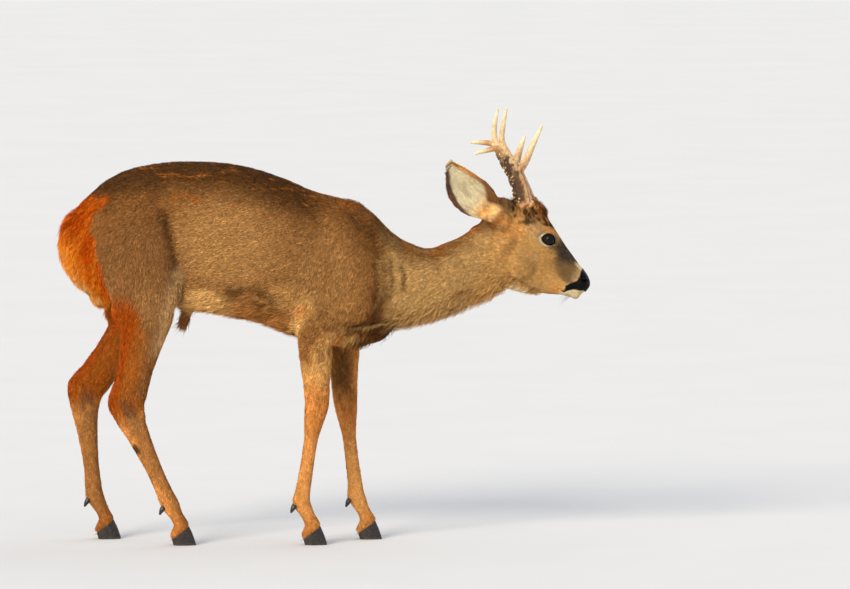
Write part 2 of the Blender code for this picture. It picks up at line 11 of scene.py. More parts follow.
import bmesh
import bpy
import numpy as np
from bpy.props import FloatProperty, FloatVectorProperty, IntProperty, PointerProperty
from mathutils import Matrix, Vector
from mathutils.bvhtree import BVHTree


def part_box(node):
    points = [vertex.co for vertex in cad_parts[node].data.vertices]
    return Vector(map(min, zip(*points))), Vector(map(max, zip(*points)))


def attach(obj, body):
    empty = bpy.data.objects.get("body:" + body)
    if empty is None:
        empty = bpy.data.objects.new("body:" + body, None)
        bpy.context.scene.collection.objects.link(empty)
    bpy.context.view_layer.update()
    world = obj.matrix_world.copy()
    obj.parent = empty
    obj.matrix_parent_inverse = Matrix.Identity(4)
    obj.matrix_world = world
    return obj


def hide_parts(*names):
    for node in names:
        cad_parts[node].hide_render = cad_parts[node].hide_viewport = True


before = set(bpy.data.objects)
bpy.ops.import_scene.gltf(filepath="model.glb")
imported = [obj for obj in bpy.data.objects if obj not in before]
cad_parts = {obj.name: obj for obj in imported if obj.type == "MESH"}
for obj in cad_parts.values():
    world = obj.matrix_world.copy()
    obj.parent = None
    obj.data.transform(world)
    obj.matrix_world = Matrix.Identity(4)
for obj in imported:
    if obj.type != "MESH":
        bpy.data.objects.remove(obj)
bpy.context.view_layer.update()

bl_info = {
    "name": "Roe Deer Buck",
    "version": (1, 0, 0),
    "blender": (4, 5, 0),
    "location": "3D View > Sidebar > Roe Deer",
    "description": "Skin, coat, eyes, antlers and hooves of a standing roe deer buck, and its stage",
    "category": "Object",
}

MM = 0.001
SIDES = (("right", -1), ("left", 1))
HORNY = ("antler", "hoof", "dewclaw", "eye")
FLESH = sorted(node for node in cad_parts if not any(word in node for word in HORNY))

# ---- the animal's own places
# The head's frame: x runs from the eyes to the nose, y to the left, z out of the forehead.
HEAD_TURN = (Matrix.Rotation(math.radians(5), 4, "Z")
             @ Matrix.Rotation(math.radians(35), 4, "Y")
             @ Matrix.Rotation(math.radians(-2), 4, "X"))
EYE_RADIUS = 14
EYE = (0, 36, 5)  # the left eye in the head's frame
EYE_TILT = 16  # degrees that its corners' line turns up from the head's own length
# Half the width between the lids' corners, how far below the eye's middle these lie, and how far the
# upper and the lower lid stand from the line between them.
EYE_OPENING = 13.8
EYE_CORNERS = 1.9
UPPER_LID, LOWER_LID = 12.6, 8.9


def middle_of(node):
    """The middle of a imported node's box, in millimetres."""
    low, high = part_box(node)
    return (low + high) / 2 / MM


HEAD = Matrix.Translation((middle_of("eye_right") + middle_of("eye_left")) / 2) @ HEAD_TURN
HEAD = HEAD @ Matrix.Translation((0, 0, -EYE[2]))
# The tables below were drawn with the head here. The frame is centred, which slides it a little.
DRAWN_HEAD = Vector((441, 18, 604))
SLIDE = np.array(HEAD.translation - DRAWN_HEAD)


def in_head(x, y, z, side=1):
    """A place of the head's frame in the world, with y running out to this side."""
    return HEAD @ Vector((x, side * y, z))


# The right ear is laid back and the left one raised and turned forward.
EAR_ROOT = (-109, 32, -22)
EAR_TIP = {-1: (-253, -84, 9), 1: (-242, 84, 24)}
EAR_HOLLOW = {-1: (0.12, -1, -0.05), 1: (0.25, 1, 0.42)}
EAR_LENGTH = 151


def ear_frame(side):
    """An ear's own frame: z runs out to its tip, x to its front edge, and its hollow faces -y."""
    root, tip = Vector((EAR_ROOT[0], EAR_ROOT[1] * side, EAR_ROOT[2])), Vector(EAR_TIP[side])
    out = (tip - root).normalized()
    hollow = Vector(EAR_HOLLOW[side])
    hollow = (hollow - out * hollow.dot(out)).normalized()
    front = hollow.cross(out) * side
    if front.z < 0:
        front.negate()
    return HEAD @ Matrix.Translation(root) @ Matrix((front, -hollow, out)).transposed().to_4x4()


# Fore: shoulder, elbow, knee, fetlock, coronet. Hind: hip, stifle, hock, fetlock, coronet.
LEGS = {
    "foreleg_right": ((20, -56, 520), (-18, -58, 440), (-14, -56, 284), (-45, -54, 87), (-21, -54, 36)),
    "foreleg_left": ((50, 56, 520), (34, 60, 436), (41, 60, 284), (64, 58, 88), (88, 58, 36)),
    "hindleg_right": ((-365, -58, 600), (-348, -70, 462), (-393, -66, 288), (-307, -62, 84), (-283, -62, 36)),
    "hindleg_left": ((-365, 58, 600), (-352, 70, 470), (-478, 68, 302), (-461, 64, 88), (-437, 64, 36)),
}
# The hooves' tops: how high they are at the front wall, and how steeply they fall to the heels.
CORONET, CORONET_FALL = 27, 0.76


# ---- sums on many points at once
def ease(low, high, x):
    """0 at low, 1 at high, with soft ends."""
    t = np.clip((x - low) / (high - low), 0, 1)
    return t * t * (3 - 2 * t)


# Large odd numbers that scramble a cell's place into a value, as whole numbers of 32 bits.
SCRAMBLE_X, SCRAMBLE_Y, SCRAMBLE_Z, SCRAMBLE_SEED, BITS = 374761393, 668265263, 1274126177, 97531, 0xFFFFFFFF


def ripple(p, size, seed=0):
    """Smooth noise from -1 to 1 in lumps of this size."""
    q = p / size + 0.37 * seed
    cell = np.floor(q).astype(np.int64)
    part = q - cell
    part = part * part * (3 - 2 * part)
    total = np.zeros(len(p))
    for corner in np.ndindex(2, 2, 2):
        c = cell + corner
        h = (c[:, 0] * SCRAMBLE_X + c[:, 1] * SCRAMBLE_Y + c[:, 2] * SCRAMBLE_Z + seed * SCRAMBLE_SEED) & BITS
        h = ((h ^ (h >> 13)) * SCRAMBLE_Z) & BITS
        value = ((h ^ (h >> 16)) & 0xFFFF) / 32767.5 - 1
        total += value * np.prod(np.where(corner, part, 1 - part), axis=1)
    return total


def unit(v):
    """The vectors at length 1."""
    return v / np.maximum(np.linalg.norm(v, axis=-1, keepdims=True), 1e-9)


def into(matrix, points):
    """The points as the matrix's own frame sees them."""
    m = np.array(matrix.inverted())
    return points @ m[:3, :3].T + m[:3, 3]


def out_of(matrix, points):
    """Points of the matrix's own frame, in the world."""
    m = np.array(matrix)
    return points @ m[:3, :3].T + m[:3, 3]


def turned(matrix, vectors):
    """Vectors of the matrix's own frame, in the world."""
    return np.asarray(vectors) @ np.array(matrix)[:3, :3].T


def ball(p, centre, size, soft=0.5):
    """1 within an ellipsoid and 0 beyond it, fading over this share of its size."""
    far = np.linalg.norm((p - np.array(centre)) / np.array(size), axis=1)
    return ease(1 + soft / 2, 1 - soft / 2, far)


def fade(far, wide):
    """1 on a line, and soon 0 beyond this width from it."""
    return np.exp(-(far / wide) ** 2)


def mirrored(p):
    """The points with both sides laid over the left one."""
    m = p.copy()
    m[:, 1] = np.abs(m[:, 1])
    return m


def tilted(x, z, degrees):
    """How far along and how far up a line that turns up by these degrees."""
    turn = math.radians(degrees)
    return x * math.cos(turn) + z * math.sin(turn), z * math.cos(turn) - x * math.sin(turn)


def to_path(flat, path):
    """How far each flat point is from a path, and how far along it in whole steps, and on which side."""
    best = np.full(len(flat), 1e9)
    along = np.zeros(len(flat))
    side = np.zeros(len(flat))
    for i, (a, b) in enumerate(zip(path, path[1:])):
        a, b = np.array(a, float), np.array(b, float)
        way = b - a
        t = (flat - a) @ way / (way @ way)
        held = np.clip(t, 0, 1)
        off = flat - (a + held[:, None] * way)
        far = np.linalg.norm(off, axis=1)
        near = far < best
        best = np.where(near, far, best)
        along = np.where(near, i + held, along)
        side = np.where(near, off @ np.array([-way[1], way[0]]) / np.linalg.norm(way), side)
    return best, along, side


def leg_places(p, name):
    """For points in the world: how far down a leg's joints, how far in front of its line, how far from it."""
    joints = LEGS[name]
    p = p - SLIDE
    far, along, front = to_path(p[:, [0, 2]], [(j[0], j[2]) for j in joints])
    beside = p[:, 1] - np.interp(along, range(5), [j[1] for j in joints])
    return along, front, np.hypot(far, beside), beside


# ---- markings
# Colours of the hair as shares of red, green and blue light, from 0 to 1. "shade", and some layers of other
# tints, are laid as painted shade and painted light.
TINTS = {
    "back": (0.098, 0.040, 0.012),
    "side": (0.33, 0.135, 0.036),
    "flank": (0.52, 0.265, 0.083),
    "thigh": (0.31, 0.135, 0.042),
    "shade": (0.10, 0.036, 0.009),
    "neck": (0.56, 0.32, 0.110),
    "throat": (0.70, 0.42, 0.14),
    "rust": (0.27, 0.085, 0.018),
    "orange": (0.54, 0.085, 0.002),
    "ember": (0.42, 0.05, 0.001),
    "flame": (0.78, 0.25, 0.018),
    "fleck": (0.437, 0.134, 0.02),
    "cream": (0.74, 0.40, 0.125),
    "silver": (0.47, 0.33, 0.19),
    "leg": (0.74, 0.30, 0.072),
    "haunch": (0.37, 0.095, 0.009),
    "shank": (0.36, 0.15, 0.042),
    "soot": (0.055, 0.028, 0.012),
    "slate": (0.050, 0.039, 0.029),
    "face": (0.62, 0.34, 0.105),
    "muzzle": (0.19, 0.105, 0.043),
    "black": (0.004, 0.004, 0.004),
    "white": (0.78, 0.66, 0.40),
    "ear": (0.80, 0.68, 0.42),
    "ear_root": (0.95, 0.58, 0.20),
    "ear_back": (0.12, 0.078, 0.05),
}

# Lines on the body seen from its side. The back line's pairs are length and height, the rump's two lines
# are height and length, and all the other lines are paths through pairs of length and height.
BACK_LINE = ((-527, 600), (-489, 680), (-449, 722), (-409, 746), (-349, 762), (-289, 765), (-189, 757),
             (-129, 744), (-49, 712), (11, 693), (71, 678), (111, 646), (151, 611), (191, 594),
             (231, 598), (271, 618), (311, 646))
RUMP_EDGE = ((380, -365), (432, -383), (472, -405), (492, -417), (532, -435), (572, -446), (612, -455),
             (632, -463), (652, -459), (672, -449), (700, -423))
RUMP_FRINGE = ((440, -430), (474, -447), (500, -470), (536, -503), (570, -518), (612, -526), (660, -520))
FAN = (-420, 700)  # where the rump's streaks fan out from
GLAND = (2.42, -21)  # the dark gland of a hind leg: how many joints down it, and how far in front of it
FLANK_CREASE = ((-313, 660), (-308, 630), (-301, 596), (-294, 560), (-287, 530))
THIGH_EDGE = ((-291, 540), (-302, 500), (-309, 452), (-325, 396))
BELLY_EDGE = ((-149, 446), (-118, 434), (-88, 422), (-57, 413))
ELBOW = ((-34, 486), (-47, 462), (-53, 430), (-55, 398), (-52, 366), (-48, 330))
FLANK_FOLD = ((-292, 534), (-280, 524), (-277, 508), (-281, 488))
SHOULDER_CREASE = ((92, 642), (105, 611), (111, 581), (119, 551), (123, 521), (119, 491), (107, 471),
                   (97, 455))
NECK_FOLDS = (((104, 560), (108, 520), (100, 490)), ((137, 570), (141, 530), (136, 498)),
              ((160, 558), (164, 535), (162, 512)))
BRISKET_FOLD = ((58, 436), (95, 438), (119, 442), (151, 436))
# In the head's frame: the mouth's path in length and height, and the bare nose's edge in height and length.
MOUTH = ((120, -36), (114, -40.5), (103, -45), (97, -52), (91, -60.5), (79, -63.5))
NOSE_EDGE = ((-60.5, 88), (-51, 84.5), (-44.5, 87.4), (-36, 93), (-30, 97), (-20, 96.5), (-10, 93),
             (-2, 93), (6, 97))


def line_at(x, line):
    """The second value of a line of pairs where its first is x."""
    return np.interp(x, [a for a, _ in line], [b for _, b in line])


def eye_places(h):
    """For head points whose y runs outward: along the lids, up them, out of the eye, and past its opening."""
    e = h - np.array(EYE)
    along, up = tilted(e[:, 0], e[:, 2], EYE_TILT)
    over = up + EYE_CORNERS
    tall = np.where(over > 0, UPPER_LID, LOWER_LID)
    opening = (np.abs(along / EYE_OPENING) ** 2 + np.abs(over / tall) ** 1.45) ** 0.58
    return along, up, e[:, 1], opening


def outward_head(p):
    """Points in the head's frame, with both sides laid over the left one."""
    return mirrored(into(HEAD, p))


def mouth_at(x):
    """How high the mouth's line runs at these lengths."""
    return line_at(-x, [(-a, b) for a, b in MOUTH])


def nose_amount(h):
    """1 on the bare black nose and lips."""
    edge = line_at(h[:, 2], NOSE_EDGE)
    above = h[:, 2] - mouth_at(h[:, 0])
    lip = ease(1.5, -0.5, above) * ease(-3.5, -1.5, above) * ease(82, 86, h[:, 0])
    return np.maximum(ease(-1.5, 1.5, h[:, 0] - edge) * ease(-1.5, 0.5, above), lip)


class Paint:
    """Colours at points, laid on one after another."""

    def __init__(self, tints, tint, count):
        self.tints = tints
        self.rgb = np.tile(np.array(tints[tint], float), (count, 1))

    def lay(self, tint, amount):
        """Mixes a tint in by this amount, from 0 to 1."""
        self.rgb += (np.array(self.tints[tint]) - self.rgb) * np.clip(amount, 0, 1)[:, None]

    def within(self, mask):
        """lay, with every amount held within this mask."""
        return lambda tint, amount: self.lay(tint, mask * amount)

    def spots(self, p, over, *rows):
        """Lays soft spots: each row gives its tint, amount, centre, size and softness."""
        for tint, amount, centre, size, soft in rows:
            self.lay(tint, over * amount * ball(p, centre, size, soft))


def body_markings(paint, p, normal):
    """Back, sides, rump, belly and neck."""
    lay = paint.lay
    p = p - SLIDE
    x, z = p[:, 0], p[:, 2]
    m = mirrored(p)
    beside = m[:, 1]
    side_on = p[:, [0, 2]]
    rough = ripple(p, 26, 1) * 9 + ripple(p, 9, 2) * 5
    streak = ripple(p * np.array([0.35, 1, 1]), 7, 3)
    mottle = ripple(p * np.array([0.7, 1, 1]), 9, 4)
    under_back = line_at(x, BACK_LINE) - z
    below = under_back + rough
    # lighter tan and cream over flank, shoulder and lower ribs: partly the coat's own tone, partly painted
    # light where these face the low light
    paint.spots(m, 1,
                ("flank", 1, (-190, 70, 600), (120, 90, 92), 1.1),
                ("flank", 0.62, (0, 80, 540), (76, 90, 96), 1.2),
                ("cream", 0.5, (-78, 80, 500), (44, 60, 26), 1.2),
                ("thigh", 1, (-370, 70, 520), (90, 90, 130), 0.9),
                ("flank", 0.4, (-343, 70, 486), (36, 60, 44), 1.1))
    lay("neck", ease(95, 150, x + rough))
    # painted shade: the top of the back and of the neck darkened where it faces up, away from the low light
    lay("back", 0.92 * ease(82, 18, below) * ease(200, 90, x) * (0.1 + 0.9 * ease(40, -50, x)))
    lay("back", 0.4 * ease(52, 14, below) * ease(60, 150, x))
    lay("shade", 0.75 * ease(-0.35, 0.25, mottle) * ball(m, (-160, 90, 496), (72, 60, 26), 0.9))
    lay("throat", 0.3 * ball(m, (215, 60, 505), (60, 60, 34), 1.2))
    # streaks of rust over the withers and along the top of the neck, whose very edge is light
    lay("rust", 0.8 * ease(-0.1, 0.5, streak) * ball(m, (40, 0, 684), (84, 62, 34), 0.7))
    lay("fleck", 0.9 * ease(0.25, 0.6, streak) * ball(m, (48, 0, 676), (70, 62, 26), 0.8))
    crest = ease(120, 200, x)
    lay("rust", 0.75 * crest * ease(40, 10, below) * ease(-0.5, 0.3, streak))
    lay("fleck", 0.7 * crest * ease(34, 6, below) * ease(0.1, 0.5, mottle))
    lay("orange", 0.7 * ease(11, 3, under_back + 0.35 * rough) * ease(210, 262, x) * ease(322, 304, x))
    # thin streaks of the red summer coat left on the back
    fleck = ripple(p * np.array([0.4, 1.5, 1.6]), 8, 5)
    lay("fleck", 0.9 * ease(0.54, 0.7, fleck) * ease(110, 30, below) * ease(60, -20, x) * ease(-420, -330, x))
    lay("fleck", 0.5 * ease(0.55, 0.7, fleck) * ease(150, 60, below) * ease(-60, -160, x))
    # a last red fleck, and painted shade in the notch between rump and thigh
    paint.spots(m, 1, ("fleck", 1, (-249, 85, 691), (11, 40, 5), 0.6),
                ("shade", 0.7, (-447, 80, 518), (9, 60, 11), 0.8))
    # belly, sheath and elbow
    under = ease(-0.35, -0.75, normal[:, 2]) * ease(120, 40, x)
    lay("cream", 0.75 * under * ease(560, 500, z) * ease(-150, -190, x))
    lay("leg", 0.5 * under * ease(-190, -150, x) * ease(-20, -70, x))
    lay("shade", 0.6 * under * ease(0.0, 0.5, mottle) * ease(-200, -150, x) * ease(20, -70, x))
    pale = ball(m, (-240, 60, 490), (40, 90, 24), 0.7) * ease(-0.9, 0.1, mottle + 0.4)
    lay("cream", pale)
    lay("ear_root", 0.5 * pale)
    lower_edge, _, _ = to_path(side_on, BELLY_EDGE)
    lay("leg", 0.9 * fade(lower_edge, 6) * ease(-0.1, -0.4, normal[:, 2]) * ease(-0.5, 0.2, mottle))
    elbow, down, _ = to_path(side_on, ELBOW)
    band = fade(elbow, np.interp(down, (0, 1, 3, 5), (13, 11, 7, 5))) * ease(20, 40, beside)
    lay("cream", 0.85 * band * ease(5.2, 4.0, down))
    lay("ear_root", 0.5 * band * ease(2.5, 1.5, down))
    lay("leg", 0.85 * ball(m, (-42, 90, 472), (15, 60, 16), 0.8) * band)
    lay("shade", 0.35 * ball(m, (-8, 90, 440), (34, 60, 46), 1) * ease(0, 0.5, mottle))
    # painted shade under the brisket
    lay("shade", 0.9 * ball(m, (92, 30, 428), (62, 70, 30), 0.7) * ease(-0.8, 0.1, mottle + 0.2))
    lay("cream", 0.9 * ball(m, (50, 60, 416), (22, 60, 15), 0.8) * ease(-0.5, 0.2, mottle))
    # painted shade along the underside of the neck
    lay("side", 0.6 * ball(m, (330, 40, 506), (60, 70, 12), 1))
    # painted shade in the folds, and painted light on the ridges just beside the neck folds
    for fold, wide, amount in ((FLANK_CREASE, 11, 0.88), (SHOULDER_CREASE, 12, 0.55), (FLANK_FOLD, 6, 0.6),
                               *((f, 5, 0.6) for f in NECK_FOLDS)):
        far, _, front = to_path(side_on, fold)
        lay("shade", amount * fade(far, wide) * ease(15, 40, beside))
        if fold in NECK_FOLDS:
            lay("throat", 0.22 * fade(far - 10, 5) * ease(15, 40, beside) * (front > 0))
    brisket, _, _ = to_path(side_on, BRISKET_FOLD)
    lay("throat", 0.85 * fade(brisket, 2.6) * ease(15, 30, beside))
    thigh_edge, _, _ = to_path(side_on, THIGH_EDGE)
    lay("silver", 0.75 * fade(thigh_edge, 14) * ease(20, 40, beside))
    lay("cream", 0.7 * fade(thigh_edge, 12) * ease(20, 40, beside))
    # rump: a fan of streaks round a red-orange middle, yellower and then creamy towards its fringe
    past = x - line_at(z, RUMP_EDGE) + rough * 0.8
    top = z + rough + 16 * ease(46, 0, beside)
    rump = ease(7, -7, past) * ease(716, 690, top) * ease(395, 430, z)
    fan_x, fan_z = x - FAN[0], z - FAN[1]
    fan = np.arctan2(fan_z, fan_x) * 14
    reach = np.hypot(fan_x, fan_z)
    ray = (0.65 * ripple(np.column_stack((fan * 2.4, beside / 30, reach / 30)), 1, 6)
           + 0.5 * ripple(np.column_stack((fan, beside / 50, reach / 60)), 1, 13))
    lay("orange", rump)
    lay("ember", 0.65 * rump * ball(m, (-486, 46, 618), (40, 80, 50), 1.0))
    lay("ember", 0.45 * rump * ease(0, 0.5, ray))
    lay("flame", 0.45 * rump * ease(0.1, -0.5, ray))
    fringe = ease(54, 8, x - line_at(z, RUMP_FRINGE) + rough * 0.8) * ease(650, 590, z) * ease(456, 484, z)
    lay("flame", 0.85 * rump * fringe)
    lay("cream", 0.85 * rump * ease(0.75, 1.25, fringe + 0.4 * ray))
    # painted shade down the middle of the rump, between the haunches
    lay("shade", 0.5 * rump * ease(8, 0, beside) * ease(600, 560, z))


def leg_markings(paint, p):
    """Rusty haunches, pale forearms, and dark streaks on the inner sides and round the hocks."""
    rough = ripple(p * np.array([1, 1, 0.4]), 8, 7) * 0.5
    z = p[:, 2]
    for name in LEGS:
        along, front, far, beside = leg_places(p, name)
        outward = beside * (-1 if name.endswith("right") else 1)
        on = ease(72, 52, far) * ease(520, 470, z)
        inner = ease(2, -12, outward)
        outer = 1 - inner
        if name.startswith("fore"):
            lay = paint.within(on * ease(1.12, 1.42, along + rough * 0.3 + front / 110))
            lay("leg", 1)
            lay("soot", 0.75 * inner * ease(250, 320, z + 40 * rough) * ease(26, 4, front))
            lay("flank", 0.6 * ease(1.85, 1.4, along + rough * 0.5) * ease(-30, 10, front) * outer)
            lay("cream", 0.3 * ease(2.2, 2.6, along))
            lay("cream", 0.8 * ease(1.85, 1.5, along) * outer)
            lay("shade", 0.5 * ease(0.1, 0.3, rough) * ease(1.9, 1.3, along) * ease(-10, 8, front))
            lay("haunch", 0.32 * ease(1.8, 2.0, along) * ease(2.5, 2.2, along)
                * ease(-0.35, 0.2, rough + front / 60))
            lay("cream", 0.35 * inner * ease(2.2, 2.6, along))
            lay("cream", 0.8 * ease(1.9, 1.4, along) * ease(-14, -26, front) * outer)
        else:
            lay = paint.within(on * ease(1.0, 1.5, along + rough * 0.3 - front / 60))
            lay("haunch", ease(2.3, 2.0, along))
            lay("leg", ease(2.0, 2.3, along))
            places = np.column_stack((along * 60, front, outward))
            lay("leg", 0.1 * ball(places, (92, -4, 20), (42, 14, 40), 0.9) * outer)
            lay("thigh", 0.9 * ease(2.1, 1.7, along) * ease(2, 16, front + 12 * rough) * outer)
            lay("ember", 0.5 * ease(-14, -30, front) * ease(2.2, 1.9, along))
            lay("fleck", 0.6 * inner * ease(-0.1, 0.3, rough) * ease(2.0, 1.4, along))
            lay("shade", 0.6 * inner * ease(0.15, 0.35, rough) * ease(2.0, 1.4, along))
            lay("shank", 0.85 * ease(2.05, 2.3, along) * ease(-0.6, 0.1, rough + front / 40))
            lay("slate", 0.6 * ease(1.90, 2.02, along) * ease(2.32, 2.12, along)
                * ease(-22, -6, front) * ease(24, 6, front) * ease(-0.35, 0.15, rough))
            lay("leg", 0.5 * ease(2.6, 3.0, along) * ease(10, -6, front))
            lay("shank", 0.85 * inner * ease(2.1, 2.4, along))
            gland = np.hypot((along - GLAND[0]) * 170, (front - GLAND[1]) * 1.2)
            paint.lay("soot", 0.9 * ease(12, 5, gland) * ease(-4, 2, outward))
        lay("haunch", 0.4 * ease(3.2, 3.8, along))


def head_markings(paint, p):
    """Crown, face, eye rings, nose and chin."""
    h = outward_head(p)
    x, z = h[:, 0], h[:, 2]
    on = ease(-112, -92, x + 0.25 * z)
    rough = ripple(p, 7, 8)
    loose = h + rough[:, None] * 2
    curls = ripple(h * np.array([0.55, 1, 0.55]), 4.2, 9)
    lines = ripple(h * np.array([0.3, 1, 1]), 2.6, 12)
    lay = paint.within(on)
    lay("face", 1)
    paint.spots(h, on, ("neck", 0.8, (26, 30, -86), (40, 40, 12), 0.9))
    paint.spots(loose, on, ("leg", 0.35, (-75, 40, -16), (30, 40, 26), 0.9))
    paint.spots(h, on, ("neck", 0.6, (-8, 38, -46), (26, 40, 22), 1),
                ("side", 0.45, (-52, 40, -52), (9, 40, 30), 1),
                ("leg", 0.6, (79, 30, -67), (16, 40, 8), 0.8))
    # muzzle and bridge, slate in fine lines
    paint.spots(loose, on, ("muzzle", 0.92, (64, 20, -18), (28, 60, 18), 0.8))
    lay("silver", 0.3 * ball(loose, (86, 24, -26), (11, 20, 15), 0.8) * ease(-0.3, 0.3, lines))
    paint.spots(loose, on, ("muzzle", 0.8, (76, 26, -37), (17, 40, 9), 0.8))
    lay("slate", (0.95 + 0.1 * lines) * ball(loose, (44, 10, 2), (36, 34, 17), 0.7))
    lay("slate", 0.9 * ease(-0.25, 0.35, lines) * ball(loose, (34, 34, -6), (19, 24, 11), 0.8))
    lay("silver", 0.3 * ease(0.15, 0.5, lines) * ball(h, (46, 14, 2), (34, 30, 14), 0.8))
    # crown: tan curls over dark ones, darkest between the ear and the antler
    crown = ball(h, (-56, 10, 38), (56, 42, 30), 0.7)
    temple = ball(h, (-74, 40, 16), (40, 34, 20), 0.8)
    lay("side", crown)
    lay("leg", 0.6 * crown * ease(0.0, 0.5, curls))
    lay("soot", 0.9 * crown * ease(0.12, -0.3, curls))
    lay("rust", 0.5 * crown * ease(26, 44, z))
    lay("soot", 0.9 * temple * ease(0.1, -0.3, curls))
    paint.spots(loose, on, ("soot", 0.6, (-100, 34, 22), (22, 40, 14), 0.8))
    lay("silver", 0.5 * ball(loose, (-28, 40, 4), (20, 24, 20), 0.8) * ease(-0.4, 0.2, curls))
    lay("soot", 0.7 * ball(loose, (-4, 20, 34), (34, 22, 11), 0.7) * ease(0.25, -0.25, curls))
    # pale rim over the nose
    paint.spots(h, on, ("white", 0.85, (91, 10, -3), (15, 22, 4.5), 0.7),
                ("silver", 0.45, (90, 24, -20), (6, 14, 18), 0.7))
    # brow, and the rings and corners of the lids
    along, up, _, opening = eye_places(h)
    near = ease(40, 30, np.hypot(along, up)) * on
    by_eye = paint.within(near)
    lids = np.column_stack((along, up, 0 * up))
    paint.spots(lids, near, ("soot", 0.7, (-3, 24, 0), (18, 3.2, 9), 0.8),
                ("face", 1, (-3, 17.5, 0), (18, 5, 9), 0.7), ("leg", 0.3, (-3, 17.5, 0), (18, 5, 9), 0.7))
    by_eye("silver", ease(1.85, 1.4, opening) * ease(14, 6, up))
    by_eye("white", 0.85 * ease(1.6, 1.3, opening) * ease(8, 0, up) * ease(13, 5, along))
    by_eye("black", ease(1.3, 0.7, np.hypot((along - 15.5) / 4.5, (up + 2.6) / 2.2)))
    by_eye("black", ease(1.16, 1.1, opening))
    below = mouth_at(x) - z
    lay("white", 0.85 * ease(0, 2.5, below) * ease(78, 88, x) * ease(26, 18, below))
    paint.spots(h, on, ("white", 0.8, (40, 0, -104), (46, 36, 10), 0.7))
    lay("black", nose_amount(h))


# The edges of an ear's white hollow in the ear's frame, from its root to its tip.
HOLLOW_FRONT = ((16, 20), (40, 11), (59, 20), (76, 27), (144, 11))
HOLLOW_REAR = ((13, -24), (42, -32), (78, -34), (113, -25), (143, -6))


def ear_markings(paint, p, normal):
    """Grey backs with light edges, and white hollows that turn golden at the root."""
    rough = ripple(p, 8, 10)
    for _, side in SIDES:
        e = into(ear_frame(side), p)
        x, z = e[:, 0], e[:, 2]
        soft = 2.5 + 9 * ease(48, 12, z)
        white = (ease(-1, 1, (line_at(z, HOLLOW_FRONT) - x + 1.5 * rough) / soft)
                 * ease(-1, 1, (x - line_at(z, HOLLOW_REAR) + 1.5 * rough) / soft))
        n = normal @ np.array(ear_frame(side))[:3, :3]
        on = ease(2, 22, z) * ease(60, 50, np.hypot(x, e[:, 1])) * ease(EAR_LENGTH + 20, EAR_LENGTH + 8, z)
        veins = ease(0.05, 0.5, ripple(e * np.array([1.5, 1, 0.3]), 6, 11))
        lay = paint.within(on)
        lay("ear_back", 0.85 + 0.3 * rough)
        lay("side", 0.75 * ease(-8, 4, x) * ease(-0.6, 0.4, rough + 0.3))
        lay("flank", 0.8 * ease(70, 20, z) * ease(10, -16, x))
        lay("leg", 0.7 * ease(9, 13, x) * ease(60, 110, z) * ease(EAR_LENGTH, 120, z))
        lay = paint.within(on * ease(0.05, 0.35, -n[:, 1]) * white)
        lay("ear", 1)
        lay("silver", 0.55 * veins * ease(130, 90, z))
        lay("leg", 0.4 * veins * ease(60, 30, z))
        lay("ear_root", ease(58, 22, z + 6 * rough))


def markings(p, normal, tints):
    """The animal's colour at these points, with painted shade and painted light laid in, for its skin and its
    coat alike.
    """
    paint = Paint(tints, "side", len(p))
    body_markings(paint, p, normal)
    leg_markings(paint, p)
    head_markings(paint, p)
    ear_markings(paint, p, normal)
    return np.clip(paint.rgb, 0.002, 1)


# ---- meshes
def linked(name, data):
    """A new object in the scene, which shows this mesh, light or camera."""
    obj = bpy.data.objects.new(name, data)
    bpy.context.scene.collection.objects.link(obj)
    return obj


def covered(mesh, material):
    """Gives the mesh this one material."""
    mesh.materials.clear()
    mesh.materials.append(material)


def piece_from(name, mesh, material, slot):
    """A finished piece that stands with the animal's body."""
    obj = linked(name, mesh)
    covered(mesh, material)
    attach(obj, "root")
    return obj


def mesh_of(bm, name):
    """The bmesh as a mesh. The bmesh is freed."""
    mesh = bpy.data.meshes.new(name)
    bm.to_mesh(mesh)
    bm.free()
    return mesh


def shade_smooth(mesh):
    """Lights the mesh's faces as one round surface."""
    mesh.polygons.foreach_set("use_smooth", np.ones(len(mesh.polygons), bool))


def facing(way):
    """The turn that points an object's z axis this way."""
    return Vector(way).to_track_quat("Z", "Y").to_matrix().to_4x4()


def applied(obj, kind, **settings):
    """Puts one modifier on the object and applies it."""
    modifier = obj.modifiers.new(kind.lower(), kind)
    for key, value in settings.items():
        setattr(modifier, key, value)
    graph = bpy.context.evaluated_depsgraph_get()
    mesh = bpy.data.meshes.new_from_object(obj.evaluated_get(graph), depsgraph=graph)
    obj.modifiers.clear()
    old = obj.data
    obj.data = mesh
    bpy.data.meshes.remove(old)


def remeshed(obj, grain, rounds):
    """Fuses the object's closed shells into one even mesh and smooths it."""
    applied(obj, "REMESH", mode="VOXEL", voxel_size=grain)
    applied(obj, "SMOOTH", factor=0.5, iterations=rounds)


def taken_from(obj):
    """The object's mesh, with the object removed."""
    mesh = obj.data
    bpy.data.objects.remove(obj)
    return mesh


def add_node(bm, node, swell):
    """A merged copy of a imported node, swollen a little so that it meets its neighbours."""
    part = bmesh.new()
    part.from_mesh(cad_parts[node].data)
    bmesh.ops.remove_doubles(part, verts=part.verts, dist=1e-5)
    part.normal_update()
    for v, normal in [(v, v.normal.copy()) for v in part.verts]:
        v.co += normal * swell
    copy = mesh_of(part, "part")
    bm.from_mesh(copy)
    bpy.data.meshes.remove(copy)


def coords_of(mesh, scale=MM):
    """The mesh's points in millimetres, when it is made in metres or at this scale."""
    co = np.empty(len(mesh.vertices) * 3)
    mesh.vertices.foreach_get("co", co)
    return co.reshape(-1, 3) / scale


